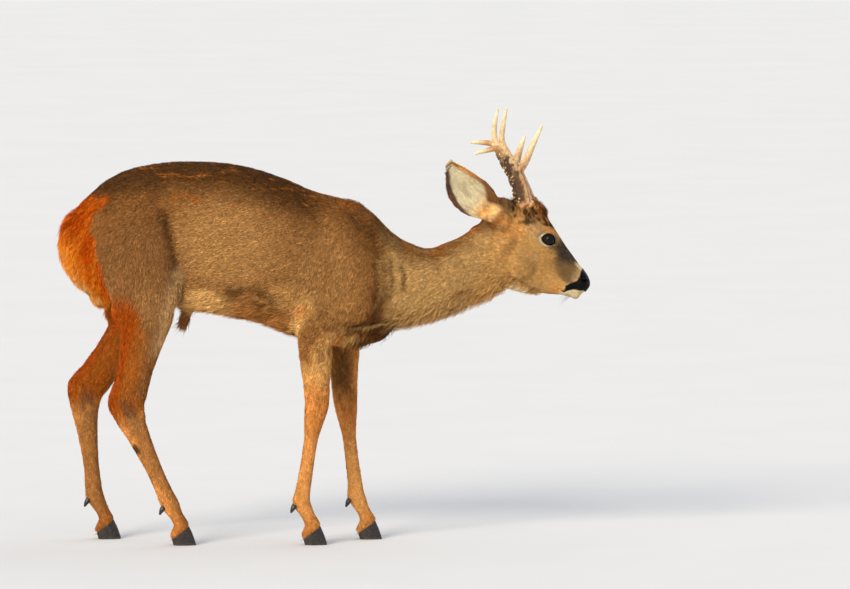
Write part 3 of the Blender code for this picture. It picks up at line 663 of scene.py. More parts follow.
def normals_of(mesh):
    """The directions in which the surface faces at the mesh's points."""
    n = np.empty(len(mesh.vertices) * 3)
    mesh.vertex_normals.foreach_get("vector", n)
    return n.reshape(-1, 3)


def put_coords(mesh, co):
    """Moves the mesh's points to these places in millimetres."""
    mesh.vertices.foreach_set("co", (co * MM).ravel())
    mesh.update()


def edges_of(mesh):
    """The two points of each of the mesh's edges."""
    ends = np.empty(len(mesh.edges) * 2, np.int64)
    mesh.edges.foreach_get("vertices", ends)
    return ends.reshape(-1, 2)


def softened(values, edges, rounds):
    """Each point's values averaged with its neighbours', again and again."""
    count = np.bincount(edges.ravel(), minlength=len(values))[:, None]
    flat = values.reshape(len(values), -1).astype(float)
    for _ in range(rounds):
        total = np.zeros_like(flat)
        for column in range(flat.shape[1]):
            total[:, column] = (np.bincount(edges[:, 0], flat[edges[:, 1], column], len(flat))
                                + np.bincount(edges[:, 1], flat[edges[:, 0], column], len(flat)))
        flat = 0.5 * flat + 0.5 * total / np.maximum(count, 1)
    return flat.reshape(values.shape)


def store(mesh, name, kind, values):
    """Keeps a value for each point of the mesh, for its material to read."""
    layer = mesh.attributes.new(name, kind, "POINT")
    if kind == "FLOAT_COLOR":
        values = np.column_stack((values, np.ones(len(values))))
        layer.data.foreach_set("color", values.astype(np.float32).ravel())
    else:
        layer.data.foreach_set("value", values.astype(np.float32).ravel())


def swollen_out(co, centre, reach, factor):
    """Points magnified about centre within reach, with those beyond it pushed out by as much."""
    away = co - centre
    far = np.linalg.norm(away, axis=1, keepdims=True)
    return co + away * (factor - 1) * np.minimum(1, reach / np.maximum(far, reach))


def shrunk_back(co, centre, reach, factor):
    """Undoes swollen_out."""
    away = co - centre
    far = np.linalg.norm(away, axis=1, keepdims=True)
    return centre + away * np.maximum(far - (factor - 1) * reach, far / factor) / np.maximum(far, 1e-6)


# ---- skin
# For each part of the body: the coat's depth, then its tufts' length and width, and how far they lift.
Hair = namedtuple("Hair", "depth length wide lift")
HAIR = {
    "trunk": Hair(5.0, 9.5, 0.85, 0.85),
    "neck": Hair(4.5, 9.5, 0.8, 0.85),
    "head": Hair(1.7, 5.6, 0.55, 0.9),
    "ear": Hair(0.8, 7, 0.5, 0.9),
    "upper": Hair(2.6, 10, 0.8, 0.85),
    "lower": Hair(1.6, 7.0, 0.65, 0.85),
    "pastern": Hair(1.5, 7, 0.65, 0.9),
}


def kind_of(node):
    """The part of the body that a node of flesh is."""
    return next(kind for kind in HAIR if kind in node)


def lie_of_coat(p, normal, node_share):
    """Which way the hair lies at each point, blended by how much it belongs to each node."""
    way = np.zeros_like(p)
    x, z = p[:, 0], p[:, 2]
    back = np.zeros_like(p)
    low = ease(560, 430, z)
    rear = ease(-380, -470, x)
    thigh = ball(p * np.array([1, 0, 1]), (-365, 0, 500), (80, 1, 130), 0.8)
    shoulder = ball(p * np.array([1, 0, 1]), (30, 0, 500), (80, 1, 130), 0.8)
    back[:, 0] = -1 + 0.75 * thigh + 0.45 * rear + 0.45 * shoulder
    back[:, 2] = -0.22 - 1.0 * thigh - 0.75 * rear - 0.7 * shoulder - 0.1 * low
    for node, share in node_share.items():
        kind = kind_of(node)
        if kind in ("upper", "lower", "pastern"):
            name = node.rsplit("_", 1)[0]
            along, _, _, _ = leg_places(p, name)
            joints = np.array(LEGS[name], float)
            step = np.clip(along.astype(int), 0, 3)
            here = unit(joints[step + 1] - joints[step])
            here[:, 2] -= 0.25
        elif kind == "head":
            h = outward_head(p)
            lies = np.array([-1.0, 0, 0]) + np.array([0, 0, -0.55]) * ease(10, -60, h[:, 2])[:, None]
            lies = lies + np.array([0, 0, 0.35]) * ball(h, (-70, 10, 40), (40, 50, 40))[:, None]
            here = turned(HEAD, lies)
        elif kind == "ear":
            side = -1 if node.endswith("right") else 1
            here = np.tile(turned(ear_frame(side), (0, 0, 1.0)), (len(p), 1))
        elif kind == "neck":
            upper = ease(0.3, 0.9, normal[:, 2:3])
            here = np.tile((-0.8, 0.0, -0.5), (len(p), 1)) + np.array([0, 0, 0.45]) * upper
        else:
            here = back
        way += here * share[:, None]
    return way


class Skin:
    """The skin's mesh and what is known at each of its points."""

    def __init__(self, mesh):
        self.mesh = mesh
        self.p = coords_of(mesh)
        self.edges = edges_of(self.mesh)

    def belong(self):
        """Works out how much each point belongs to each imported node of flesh."""
        bm = bmesh.new()
        owner = []
        for i, node in enumerate(FLESH):
            before = len(bm.faces)
            bm.from_mesh(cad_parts[node].data)
            owner += [i] * (len(bm.faces) - before)
        bm.faces.ensure_lookup_table()
        tree = BVHTree.FromBMesh(bm)
        nearest = np.array([owner[tree.find_nearest(Vector(co))[2]] for co in self.p * MM])
        bm.free()
        shares = softened(np.eye(len(FLESH))[nearest], self.edges, 12)
        self.share = {node: shares[:, i] for i, node in enumerate(FLESH)}

    def blended(self, field):
        """One of the hair's sizes, blended between the parts."""
        return sum(getattr(HAIR[kind_of(node)], field) * share for node, share in self.share.items())

    def normals(self):
        return normals_of(self.mesh)

    def move(self, normal, by):
        """Moves each point this far along its normal."""
        self.p = self.p + normal * by[:, None]
        put_coords(self.mesh, self.p)


MEET = 0.35  # how far the flesh nodes swell to meet each other
EYE_BED = 0.8  # how far the flesh reaches past an eyeball
ANTLER_FOOT, ANTLER_SINK = 13, 8  # the radius of the flesh under an antler, and how far it is sunk
# The hairy bulbs of a heel, from its coronet: where they are, with y out to each hoof, and their half sizes.
HEEL_BULBS = (((-17, 8.6, -16), (10, 8.6, 12)), ((-5, 8.6, -6), (19, 8.8, 9)))
# The head is fused at this many times its size, about this place from the head's middle, so that its
# faces come out finer than the body's.
HEAD_SWELL, SWELL_REACH, SWELL_CENTRE = 2.1, 190, (-40, -5, 25)
SKIN_SMOOTHING = 9


def fused_skin(grain):
    """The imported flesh, eyes and antler feet as one even mesh, finest on the head."""
    bm = bmesh.new()
    for node in FLESH:
        add_node(bm, node, MEET * MM)
    balls = []
    for name, side in SIDES:
        balls.append((in_head(*EYE, side) * MM, EYE_RADIUS + EYE_BED))
        root = Vector(ANTLERS[name].beam[0]) * MM + Vector(SLIDE) * MM
        balls.append((root - Vector((0, 0, ANTLER_SINK * MM)), ANTLER_FOOT))
    for middle, radius in balls:
        matrix = Matrix.Translation(middle)
        bmesh.ops.create_icosphere(bm, subdivisions=3, radius=radius * MM, matrix=matrix)
    for joints in LEGS.values():
        for side in (-1, 1):
            for (x, y, z), size in HEEL_BULBS:
                middle = (Vector(joints[4]) + Vector(SLIDE) + Vector((x, y * side, z))) * MM
                matrix = Matrix.Translation(middle) @ Matrix.Diagonal((*(Vector(size) * MM), 1))
                bmesh.ops.create_icosphere(bm, subdivisions=3, radius=1, matrix=matrix)
    obj = linked("rough", mesh_of(bm, "rough"))
    swell = (np.array(HEAD.translation) + np.array(SWELL_CENTRE), SWELL_REACH, HEAD_SWELL)
    put_coords(obj.data, swollen_out(coords_of(obj.data), *swell))
    remeshed(obj, grain, SKIN_SMOOTHING)
    put_coords(obj.data, shrunk_back(coords_of(obj.data), *swell))
    return obj


# How far about each eye, the nose and each nostril the skin's faces are split, once for each reach.
EYE_FINE, NOSE_FINE, NOSTRIL_FINE = (27, 21), (46,), (15,)
NOSE_MIDDLE, NOSTRIL_MIDDLE = (100, 0, -36), (108, 11, -24)


def refine(obj, places):
    """Splits the faces about each place, once for each of its reaches."""
    bm = bmesh.new()
    bm.from_mesh(obj.data)
    for centre, reaches in places:
        for reach in reaches:
            near = [e for e in bm.edges if (e.verts[0].co / MM - centre).length < reach]
            bmesh.ops.subdivide_edges(bm, edges=near, cuts=1, use_grid_fill=True, smooth=0.0)
    bmesh.ops.triangulate(bm, faces=[f for f in bm.faces if len(f.verts) > 4])
    bm.to_mesh(obj.data)
    bm.free()


# Each crease of the body with its width and depth.
CREASES = ((FLANK_CREASE, 17, 4.5), (FLANK_FOLD, 6, 5), (SHOULDER_CREASE, 9, 3.6), (BRISKET_FOLD, 6, 3.6),
           *((fold, 5, 2.4) for fold in NECK_FOLDS))


def folded(skin):
    """How deep the creases are at each point, where flank meets thigh and neck meets shoulder."""
    flat = (skin.p - SLIDE)[:, [0, 2]]
    beside = ease(12, 45, np.abs(skin.p[:, 1]))
    dip = np.zeros(len(flat))
    for fold, wide, deep in CREASES:
        far, _, _ = to_path(flat, fold)
        dip += deep * fade(far, wide)
    return dip * beside


# The lids' thickness over the eyeball and their reach about it. Inside their opening the skin runs behind
# the eyeball, on a ball this much smaller and this much deeper.
LID, LID_REACH = 1.5, 34
SMALLER, DEEPER = 1.6, 1.5
NOSTRIL, NOSTRIL_TILT = (110, -22), 35  # its length and height on the head, and its turn in degrees


def face_shaped(skin):
    """Lids over the eyes, nostrils, mouth and the groove down the nose."""
    for _, side in SIDES:
        h = into(HEAD, skin.p)
        h[:, 1] *= side
        along, up, out, opening = eye_places(h)
        across = along ** 2 + up ** 2
        near = (h[:, 1] > 0) & (across < LID_REACH ** 2)
        lid = np.sqrt(np.maximum((EYE_RADIUS + LID) ** 2 - across, 0))
        behind = np.sqrt(np.maximum((EYE_RADIUS - SMALLER) ** 2 - across, 0)) - DEEPER
        hug = ease(1.85, 1.1, opening)
        lid_fold = 0.9 * fade(opening - 1.42, 0.1) * ease(-4, 6, up)
        outer = out + (np.maximum(lid, np.minimum(out, lid + 3.5)) - out) * hug - lid_fold
        target = behind + (outer - behind) * ease(0.97, 1.03, opening)
        h[:, 1] = (EYE[1] + np.where(near, target, out)) * side
        skin.p = np.where(near[:, None], out_of(HEAD, h), skin.p)
    put_coords(skin.mesh, skin.p)
    h = outward_head(skin.p)
    x, y, z = h.T
    a, b = tilted(x - NOSTRIL[0], z - NOSTRIL[1], NOSTRIL_TILT)
    nostril = np.hypot(a / 6.2, (b - 0.02 * a * a) / 3.0)
    lateral = ease(3, 8, y)
    dip = 6.0 * ease(1.15, 0.55, nostril) * lateral - 1.1 * fade(nostril - 1.5, 0.35) * lateral
    mouth, _, _ = to_path(h[:, [0, 2]], MOUTH)
    dip += 2.6 * fade(mouth, 1.5)
    # the groove down the nose, and the pit before the eye
    dip += 1.2 * fade(y, 1.3) * ease(104, 110, x) * ease(-40, -34, z) * ease(-12, -20, z)
    dip += 1.3 * np.exp(-((x - 27) / 9) ** 2 - ((z - 2) / 2.4) ** 2) * ease(24, 30, y)
    skin.move(skin.normals(), -dip * ease(-30, 0, x))


# ---- coat
def cylinder_map(p, start, end):
    """An unwrap round the line from start to end: how far along it, and how far round."""
    start, end = np.array(start, float), np.array(end, float)
    way = unit(end - start)
    side = unit(np.cross(way, (0.02, 1, 0.03)))
    other = np.cross(way, side)
    off = p - start
    u = off @ way / np.linalg.norm(end - start)
    v = np.arctan2(off @ side, off @ other) / (2 * np.pi) + 0.5
    return np.column_stack((np.clip(u, 0, 1) * 0.98 + 0.01, v * 0.98 + 0.01))


def leg_map(p):
    """The four legs unwrapped in four strips."""
    out = np.zeros((len(p), 2))
    best = np.full(len(p), 1e9)
    for i, name in enumerate(LEGS):
        along, front, far, beside = leg_places(p, name)
        v = np.arctan2(beside, front) / (2 * np.pi) + 0.5
        mine = np.column_stack((np.clip(along / 4.2, 0, 1) * 0.98 + 0.01, (i + v * 0.92 + 0.04) / 4))
        out = np.where((far < best)[:, None], mine, out)
        best = np.minimum(best, far)
    return out


def ear_map(p, normal):
    """Each ear's hollow and back laid flat in a quarter of the map."""
    out = np.zeros((len(p), 2))
    left = into(HEAD, p)[:, 1] > 0
    for i, (_, side) in enumerate(SIDES):
        e = into(ear_frame(side), p)
        back = (turned(ear_frame(side).inverted(), normal)[:, 1] > 0).astype(float)
        u = 0.05 + 0.9 * np.clip(e[:, 2] / (EAR_LENGTH + 10), 0, 1)
        v = (2 * i + back + 0.08 + 0.84 * np.clip(e[:, 0] / 80 + 0.5, 0, 1)) / 4
        out = np.where((left if side > 0 else ~left)[:, None], np.column_stack((u, v)), out)
    return out


def sown(skin, weight, count, rng):
    """Roots sown over the skin as thickly as weight says: their triangles and places in them."""
    mesh = skin.mesh
    mesh.calc_loop_triangles()
    corner = np.empty(len(mesh.loop_triangles) * 3, np.int64)
    mesh.loop_triangles.foreach_get("vertices", corner)
    corner = corner.reshape(-1, 3)
    a, b, c = (skin.p[corner[:, i]] for i in range(3))
    area = np.linalg.norm(np.cross(b - a, c - a), axis=1) / 2
    run = np.cumsum(area * weight[corner].mean(axis=1))
    at = (np.arange(count) + rng.random(count)) / count * run[-1]
    chosen = corner[np.minimum(np.searchsorted(run, at), len(corner) - 1)]
    u, v = rng.random(count), rng.random(count)
    over = u + v > 1
    u, v = np.where(over, 1 - u, u), np.where(over, 1 - v, v)
    share = np.column_stack((1 - u - v, u, v))
    return lambda field: np.einsum("nk,nk...->n...", share, field[chosen])


# A strand starts this far under the skin. Those of a tuft root apart by these shares of their width,
# across the lie, and of their length, along it, and each rolls by chance about its own line.
ROOT_DEPTH, ROOT_ACROSS, ROOT_ALONG, ROLL = 0.35, 1.1, 0.18, 0.4
PATCH = 0.003  # the side of a tuft's patch of the unwrap


def tuft_mesh(name, roots, normal, way, hair, rgb, places, strands, bent, spread, speckle, rng):
    """Thin pointed strands in tufts, each banded light and dark by chance.

    hair gives each tuft's length, width and height off the skin.
    """
    count = len(roots)
    length, wide, rise = (np.repeat(values, strands) for values in hair)
    shape = (count * strands, 1)
    n = np.repeat(normal, strands, axis=0)
    d = np.repeat(unit(way - normal * (way * normal).sum(axis=1, keepdims=True)), strands, axis=0)
    side = np.cross(n, d)
    turn = rng.normal(0, spread, shape)
    d, side = d * np.cos(turn) + side * np.sin(turn), side * np.cos(turn) - d * np.sin(turn)
    length = length * rng.uniform(0.72, 1.12, shape[0])
    rise = rise * rng.uniform(0.55, 1.1, shape[0])
    start = (np.repeat(roots, strands, axis=0) - ROOT_DEPTH * n
             + side * rng.normal(0, ROOT_ACROSS, shape) * wide[:, None]
             + d * rng.normal(0, ROOT_ALONG, shape) * length[:, None])
    roll = rng.normal(0, ROLL, shape)
    half = (side * np.cos(roll) + n * np.sin(roll)) * wide[:, None] / 2
    tip = start + d * length[:, None] + n * rise[:, None]
    if bent:
        mid = start + d * 0.5 * length[:, None] + n * (0.82 * rise + 0.1)[:, None]
        rows = np.stack((start + half, start - half, mid + 0.85 * half, mid - 0.85 * half, tip), axis=1)
        corners = np.array(((0, 1, 3), (0, 3, 2), (2, 3, 4)))
        light_of = (0.6, 0.93, 1.18)  # at its root, its middle and its tip
        rows_of = (0, 0, 1, 1, 2)
        place = np.array(((0, 0), (1, 0), (0, 0.5), (1, 0.5), (0.5, 1)))
    else:
        rows = np.stack((start + half, start - half, tip), axis=1)
        corners = np.array(((0, 1, 2),))
        light_of = (0.78, 0.78, 1.18)
        rows_of = (0, 0, 2)
        place = np.array(((0, 0), (1, 0), (0.5, 1)))
    points = rows.shape[1]
    faces = (np.arange(len(rows))[:, None, None] * points + corners).reshape(-1, 3)
    mesh = bpy.data.meshes.new(name)
    mesh.vertices.add(len(rows) * points)
    mesh.loops.add(faces.size)
    mesh.polygons.add(len(faces))
    mesh.vertices.foreach_set("co", (rows.reshape(-1, 3) * MM).ravel())
    mesh.loops.foreach_set("vertex_index", faces.ravel().astype(np.int32))
    mesh.polygons.foreach_set("loop_start", np.arange(0, faces.size, 3, dtype=np.int32))
    shade_smooth(mesh)
    tuft_light = np.repeat(rng.normal(0, 0.45 * speckle, (count, 1)), strands, axis=0)
    bands = rng.normal(0, speckle, (len(rows), 3)) * (0.35, 0.8, 1.0)
    light = np.exp(tuft_light + bands - 0.3 * speckle ** 2) * light_of
    colour = np.repeat(rgb, strands, axis=0)
    warmth = light[:, rows_of, None] ** np.array((0.92, 1.0, 1.12))
    store(mesh, "tint", "FLOAT_COLOR", (colour[:, None, :] * warmth).reshape(-1, 3))
    across = (np.tile(np.arange(strands), count)[:, None] + place[None, :, 0]) / strands - 0.5
    centre = np.repeat(places, strands, axis=0)
    uv = np.stack((centre[:, :1] + across * PATCH, centre[:, 1:] + (place[None, :, 1] - 0.5) * PATCH), axis=2)
    layer = mesh.uv_layers.new(name="OFBake")
    layer.data.foreach_set("uv", uv.reshape(-1, 2)[faces.ravel()].astype(np.float32).ravel())
    mesh.update()
    mesh.validate()
    return mesh


# speckle: how much its strands differ in lightness. clump: how much its locks do, along the lie given.
Growth = namedtuple("Growth", "name slot tufts strands bent owns chart speckle clump lie")
# The trunk's coat in slices: each one's rear and front, and its tufts. The unwrap spans the trunk's ends.
TRUNK_SLICES = (("rump", -900, -400, 20500), ("loins", -400, -215, 16000), ("ribs", -215, -45, 16500),
                ("shoulders", -45, 900, 17500))
TRUNK_ENDS = (-530, 140)


def share_of(skin, *kinds):
    """How much each point belongs to the nodes of these kinds."""
    return sum(share for node, share in skin.share.items() if any(kind in node for kind in kinds))


def growths(skin):
    """Every piece of the coat: how many tufts of how many strands, where they root, and their unwrap."""
    x = skin.p[:, 0]
    h = outward_head(skin.p)
    trunk, head = share_of(skin, "trunk"), share_of(skin, "head")
    for name, start, end, tufts in TRUNK_SLICES:
        low, high = (max(start, TRUNK_ENDS[0]), 0, 590), (min(end, TRUNK_ENDS[1]), 0, 570)
        yield Growth(f"coat_{name}", "coat", tufts, 3, True, trunk * (x >= start) * (x < end),
                     lambda p, n, low=low, high=high: cylinder_map(p, low, high), 0.36, 0.12, (-1, 0, -0.25))
    yield Growth("coat_neck", "coat", 18500, 3, True, share_of(skin, "neck"),
                 lambda p, n: cylinder_map(p, (70, 0, 545), (350, 8, 570)), 0.34, 0.14, (-0.8, 0, -0.5))
    face_start, face_end = out_of(HEAD, np.array([(-60, 0, -20), (125, 0, -30)]))
    face_lie = turned(HEAD, (-1, 0, -0.2))
    yield Growth("coat_face", "coat", 22000, 8, False, head * ease(-42, -38, h[:, 0]),
                 lambda p, n: cylinder_map(p, face_start, face_end), 0.24, 0.12, face_lie)
    crown_start, crown_end = out_of(HEAD, np.array([(-135, 0, -20), (-30, 0, -20)]))
    yield Growth("coat_crown", "coat", 14500, 8, False, head * ease(-38, -42, h[:, 0]),
                 lambda p, n: cylinder_map(p, crown_start, crown_end), 0.26, 0.28, face_lie)
    yield Growth("coat_ears", "ear_coat", 11000, 8, False, share_of(skin, "ear"), ear_map,
                 0.2, 0.14, turned(HEAD, (-1, 0, 0.3)))
    for kind, tufts, speckle, clump in (("foreleg", 14000, 0.26, 0.16), ("hindleg", 17500, 0.28, 0.18)):
        yield Growth(f"coat_{kind}s", "leg_coat", tufts, 3, True, share_of(skin, kind),
                     lambda p, n: leg_map(p), speckle, clump, (0, 0, 1))


def locks(p, lie, size, seed):
    """Smooth noise from -1 to 1 in lumps drawn out along the lie of the hair."""
    lie = unit(np.array(lie, float))
    return ripple(p - 0.4 * np.outer(p @ lie, lie), size, seed)


def hair_sizes(skin):
    """Length, width and rise of the hair at every point of the skin."""
    p = skin.p
    h, m = outward_head(p), mirrored(p)
    length, wide = skin.blended("length"), skin.blended("wide")
    rise = skin.blended("depth") * skin.blended("lift")
    head = share_of(skin, "head")
    crown = head * ball(h, (-70, 12, 42), (42, 46, 40), 0.6)
    rump = ball(m, (-505, 0, 580), (60, 70, 110), 0.8)
    belly = ease(-0.2, -0.8, skin.normal[:, 2]) * share_of(skin, "trunk")
    length = length + 6 * crown + 9 * rump + 5 * belly + 6 * head * ball(h, (20, 0, -98), (60, 30, 16), 0.8)
    rise = rise + 1.6 * crown + 2.6 * rump + 1.0 * belly
    fine = head * ease(20, 90, h[:, 0])
    length = length * (1 - 0.4 * fine)
    wide = wide * (1 - 0.15 * fine)
    rise = rise * (1 - 0.45 * fine)
    return length, wide, rise


def over_coronet(p):
    """How far each point is above the hooves' tops, which fall from the front wall to the heels."""
    feet = np.array([joints[4] for joints in LEGS.values()]) + SLIDE
    near = np.argmin(np.linalg.norm(p[:, None, :2] - feet[None, :, :2], axis=2), axis=1)
    return p[:, 2] - CORONET - CORONET_FALL * (p[:, 0] - feet[near, 0])


def bare_amount(skin):
    """1 where no hair grows: nose, lips, the rims of the lids, and under the hooves' tops."""
    h = outward_head(skin.p)
    along, up, out, opening = eye_places(h)
    eyes = ease(1.2, 1.12, opening) * (np.hypot(along, up) < 30) * (out > -14)
    hooves = ease(0.5, -2, over_coronet(skin.p)) * (skin.p[:, 2] < 60)
    return np.maximum.reduce((nose_amount(h) * (h[:, 0] > 70), eyes, hooves))


# ---- long hairs
Wisp = namedtuple("Wisp", "where tufts length stand way")
# How strongly they turn their own way and sway, how wide they are, and how far they rise from the skin.
WISP_PULL, WISP_SWAY, WISP_WIDTH, WISP_RISE = 1.2, 0.5, 1.05, 0.62


def wisps(skin):
    """Where longer hair stands out from the coat."""
    p, n = skin.p, skin.normal
    h, m = outward_head(p), mirrored(p)
    trunk, neck, head = share_of(skin, "trunk"), share_of(skin, "neck"), share_of(skin, "head")
    under = ease(-0.3, -0.8, n[:, 2])
    thigh = share_of(skin, "hindleg")
    back_down = (-0.5, 0, -0.8)
    straight_down = (-0.1, 0, -1)
    belly = trunk * under * ease(20, -20, p[:, 0]) * ease(-420, -380, p[:, 0])
    yield Wisp(belly, 900, 20, 0.8, (-0.7, 0, -0.7))
    yield Wisp(trunk * ball(m, (-520, 0, 580), (40, 60, 100), 0.6), 2000, 20, 0.9, back_down)
    yield Wisp((trunk + thigh) * ball(m, (-448, 40, 478), (16, 60, 20), 0.7), 300, 22, 0.3, straight_down)
    yield Wisp(trunk * ball(m, (-276, 0, 445), (20, 20, 26), 0.6), 260, 22, 0.35, straight_down)
    yield Wisp(trunk * ball(m, (95, 20, 410), (60, 50, 22), 0.8), 420, 18, 0.9, back_down)
    yield Wisp((neck + 0.5 * trunk) * under * ease(100, 180, p[:, 0]), 1100, 18, 1.1, (-0.75, 0, -0.6))
    yield Wisp(head * ball(h, (14, 0, -102), (58, 26, 14), 0.8), 800, 14, 1.0, (-0.6, 0, -0.75))
    yield Wisp(head * ball(h, (-70, 14, 42), (40, 38, 26), 0.8), 900, 12, 0.6, (-0.4, 0, 0.8))
    for name, _ in SIDES:
        foot = np.array(ANTLERS[name].beam[0]) + SLIDE
        yield Wisp(head * ball(p, foot, (25, 25, 30), 0.4), 420, 15, 0.9, (0.1, 0, 1))
    yield Wisp(thigh * ease(-0.2, -0.7, n[:, 0]) * ease(300, 380, p[:, 2]), 500, 15, 0.4, (-0.3, 0, -1))


# ---- antlers
Antler = namedtuple("Antler", "beam front top rear")
ANTLERS = {
    "right": Antler(
        beam=((403, -5, 668), (396, -8, 700), (386, -14, 734), (371, -22, 766), (356, -30, 790)),
        front=((384, -16, 740), (402, -25, 766), (417, -33, 800), (435, -39, 838)),
        top=((366, -26, 780), (355, -33, 806), (357, -40, 836), (364, -46, 874)),
        rear=((362, -28, 789), (343, -34, 792), (324, -38, 788), (301, -42, 782)),
    ),
    "left": Antler(
        beam=((414, 38, 668), (401, 42, 696), (385, 48, 732), (363, 56, 766), (345, 63, 788)),
        front=((379, 51, 746), (387, 60, 769), (393, 67, 787), (402, 73, 810)),
        top=((356, 58, 776), (342, 66, 802), (341, 73, 830), (347, 80, 864)),
        rear=((354, 60, 786), (334, 67, 795), (315, 72, 797), (293, 77, 797)),
    ),
}
ANTLER_TINTS = {
    "front": (0.50, 0.26, 0.10),
    "rear": (0.085, 0.040, 0.016),
    "groove": (0.20, 0.065, 0.018),
    "bone": (0.74, 0.52, 0.27),
    "pearl": (0.70, 0.46, 0.16),
    "tip": (0.80, 0.66, 0.40),
    "burr": (0.52, 0.24, 0.085),
}
# Radii from root to tip.
RADII = Antler(beam=(15.5, 16.6, 15.8, 12.2, 8.3), front=(10, 7.8, 6, 2.8), top=(8, 6.2, 5.2, 2.8),
               rear=(7.6, 6, 5, 2.8))
PEARLS, KNOBS = 115, 34  # beads behind each beam, and lumps round each burr
BURR_PLACE = 0.06  # how far up the beam the burr sits


def along_spline(points, t):
    """The place on a smooth curve through the points, with t from 0 to 1, and its direction."""
    q = np.vstack((2 * points[0] - points[1], points, 2 * points[-1] - points[-2]))
    s = np.clip(t, 0, 1) * (len(points) - 1)
    i = np.minimum(s.astype(int), len(points) - 2)
    f = (s - i)[:, None]
    a, b, c, d = q[i], q[i + 1], q[i + 2], q[i + 3]
    square, cube = 2 * a - 5 * b + 4 * c - d, 3 * b - a - 3 * c + d
    place = 0.5 * (2 * b + (c - a) * f + square * f**2 + cube * f**3)
    return place, unit(0.5 * ((c - a) + 2 * square * f + 3 * cube * f**2))


def at_share(t, values):
    """The value this far along evenly spaced values, with t from 0 to 1."""
    return np.interp(t, np.linspace(0, 1, len(values)), values)


def horn(bm, points, radii, rings=26, sides=24):
    """A tapering round horn: circles along the curve, bridged and closed at both ends."""
    t = np.linspace(0, 1, rings)
    places, ways = along_spline(np.array(points, float), t)
    before = None
    for place, way, size in zip(places, ways, at_share(t, radii)):
        matrix = Matrix.Translation(Vector(place) * MM) @ facing(way) @ Matrix.Scale(size * MM, 4)
        ring = bmesh.ops.create_circle(bm, segments=sides, radius=1, matrix=matrix)["verts"]
        edges = list({e for v in ring for e in v.link_edges})
        if before:
            bmesh.ops.bridge_loops(bm, edges=before + edges)
        else:
            bmesh.ops.holes_fill(bm, edges=edges, sides=0)
        before = edges
    bmesh.ops.holes_fill(bm, edges=before, sides=0)


def beaded(bm, beam, side, rng):
    """Adds the pearls on the beam's rear and inner sides."""
    t = rng.uniform(0.1, 0.92, PEARLS)
    places, ways = along_spline(beam, t)
    behind = unit(np.cross(ways, (0, 1, 0)))
    behind *= -np.sign(behind[:, :1])
    inward = unit(np.cross(ways, behind))
    inward *= -side * np.sign(inward[:, 1:2])
    turn = rng.normal(0.35, 0.75, (PEARLS, 1))
    out = behind * np.cos(turn) + inward * np.sin(turn)
    big = rng.uniform(2.4, 4.1, PEARLS) * np.interp(t, (0, 0.5, 1), (1.1, 1.0, 0.6))
    for place, way, size in zip(places + out * at_share(t, RADII.beam)[:, None] * 0.97, out, big):
        tall = Matrix.Diagonal((size * MM, size * MM, 1.5 * size * MM, 1))
        bmesh.ops.create_icosphere(bm, subdivisions=2, radius=1,
                                   matrix=Matrix.Translation(Vector(place) * MM) @ facing(way) @ tall)


def burred(bm, beam, rng):
    """Adds the burr's ring of knobs at the foot of the beam."""
    foot, lean = (values[0] for values in along_spline(beam, np.array([BURR_PLACE])))
    one = unit(np.cross(lean, (0, 1, 0)))
    other = np.cross(lean, one)
    for k in range(KNOBS):
        turn = 2 * math.pi * (k + rng.uniform(-0.25, 0.25)) / KNOBS
        out = one * math.cos(turn) + other * math.sin(turn)
        place = foot + out * rng.uniform(13.5, 17) + lean * rng.uniform(-3, 6)
        bmesh.ops.create_icosphere(bm, subdivisions=2, radius=rng.uniform(3.4, 5.2) * MM,
                                   matrix=Matrix.Translation(Vector(place) * MM))


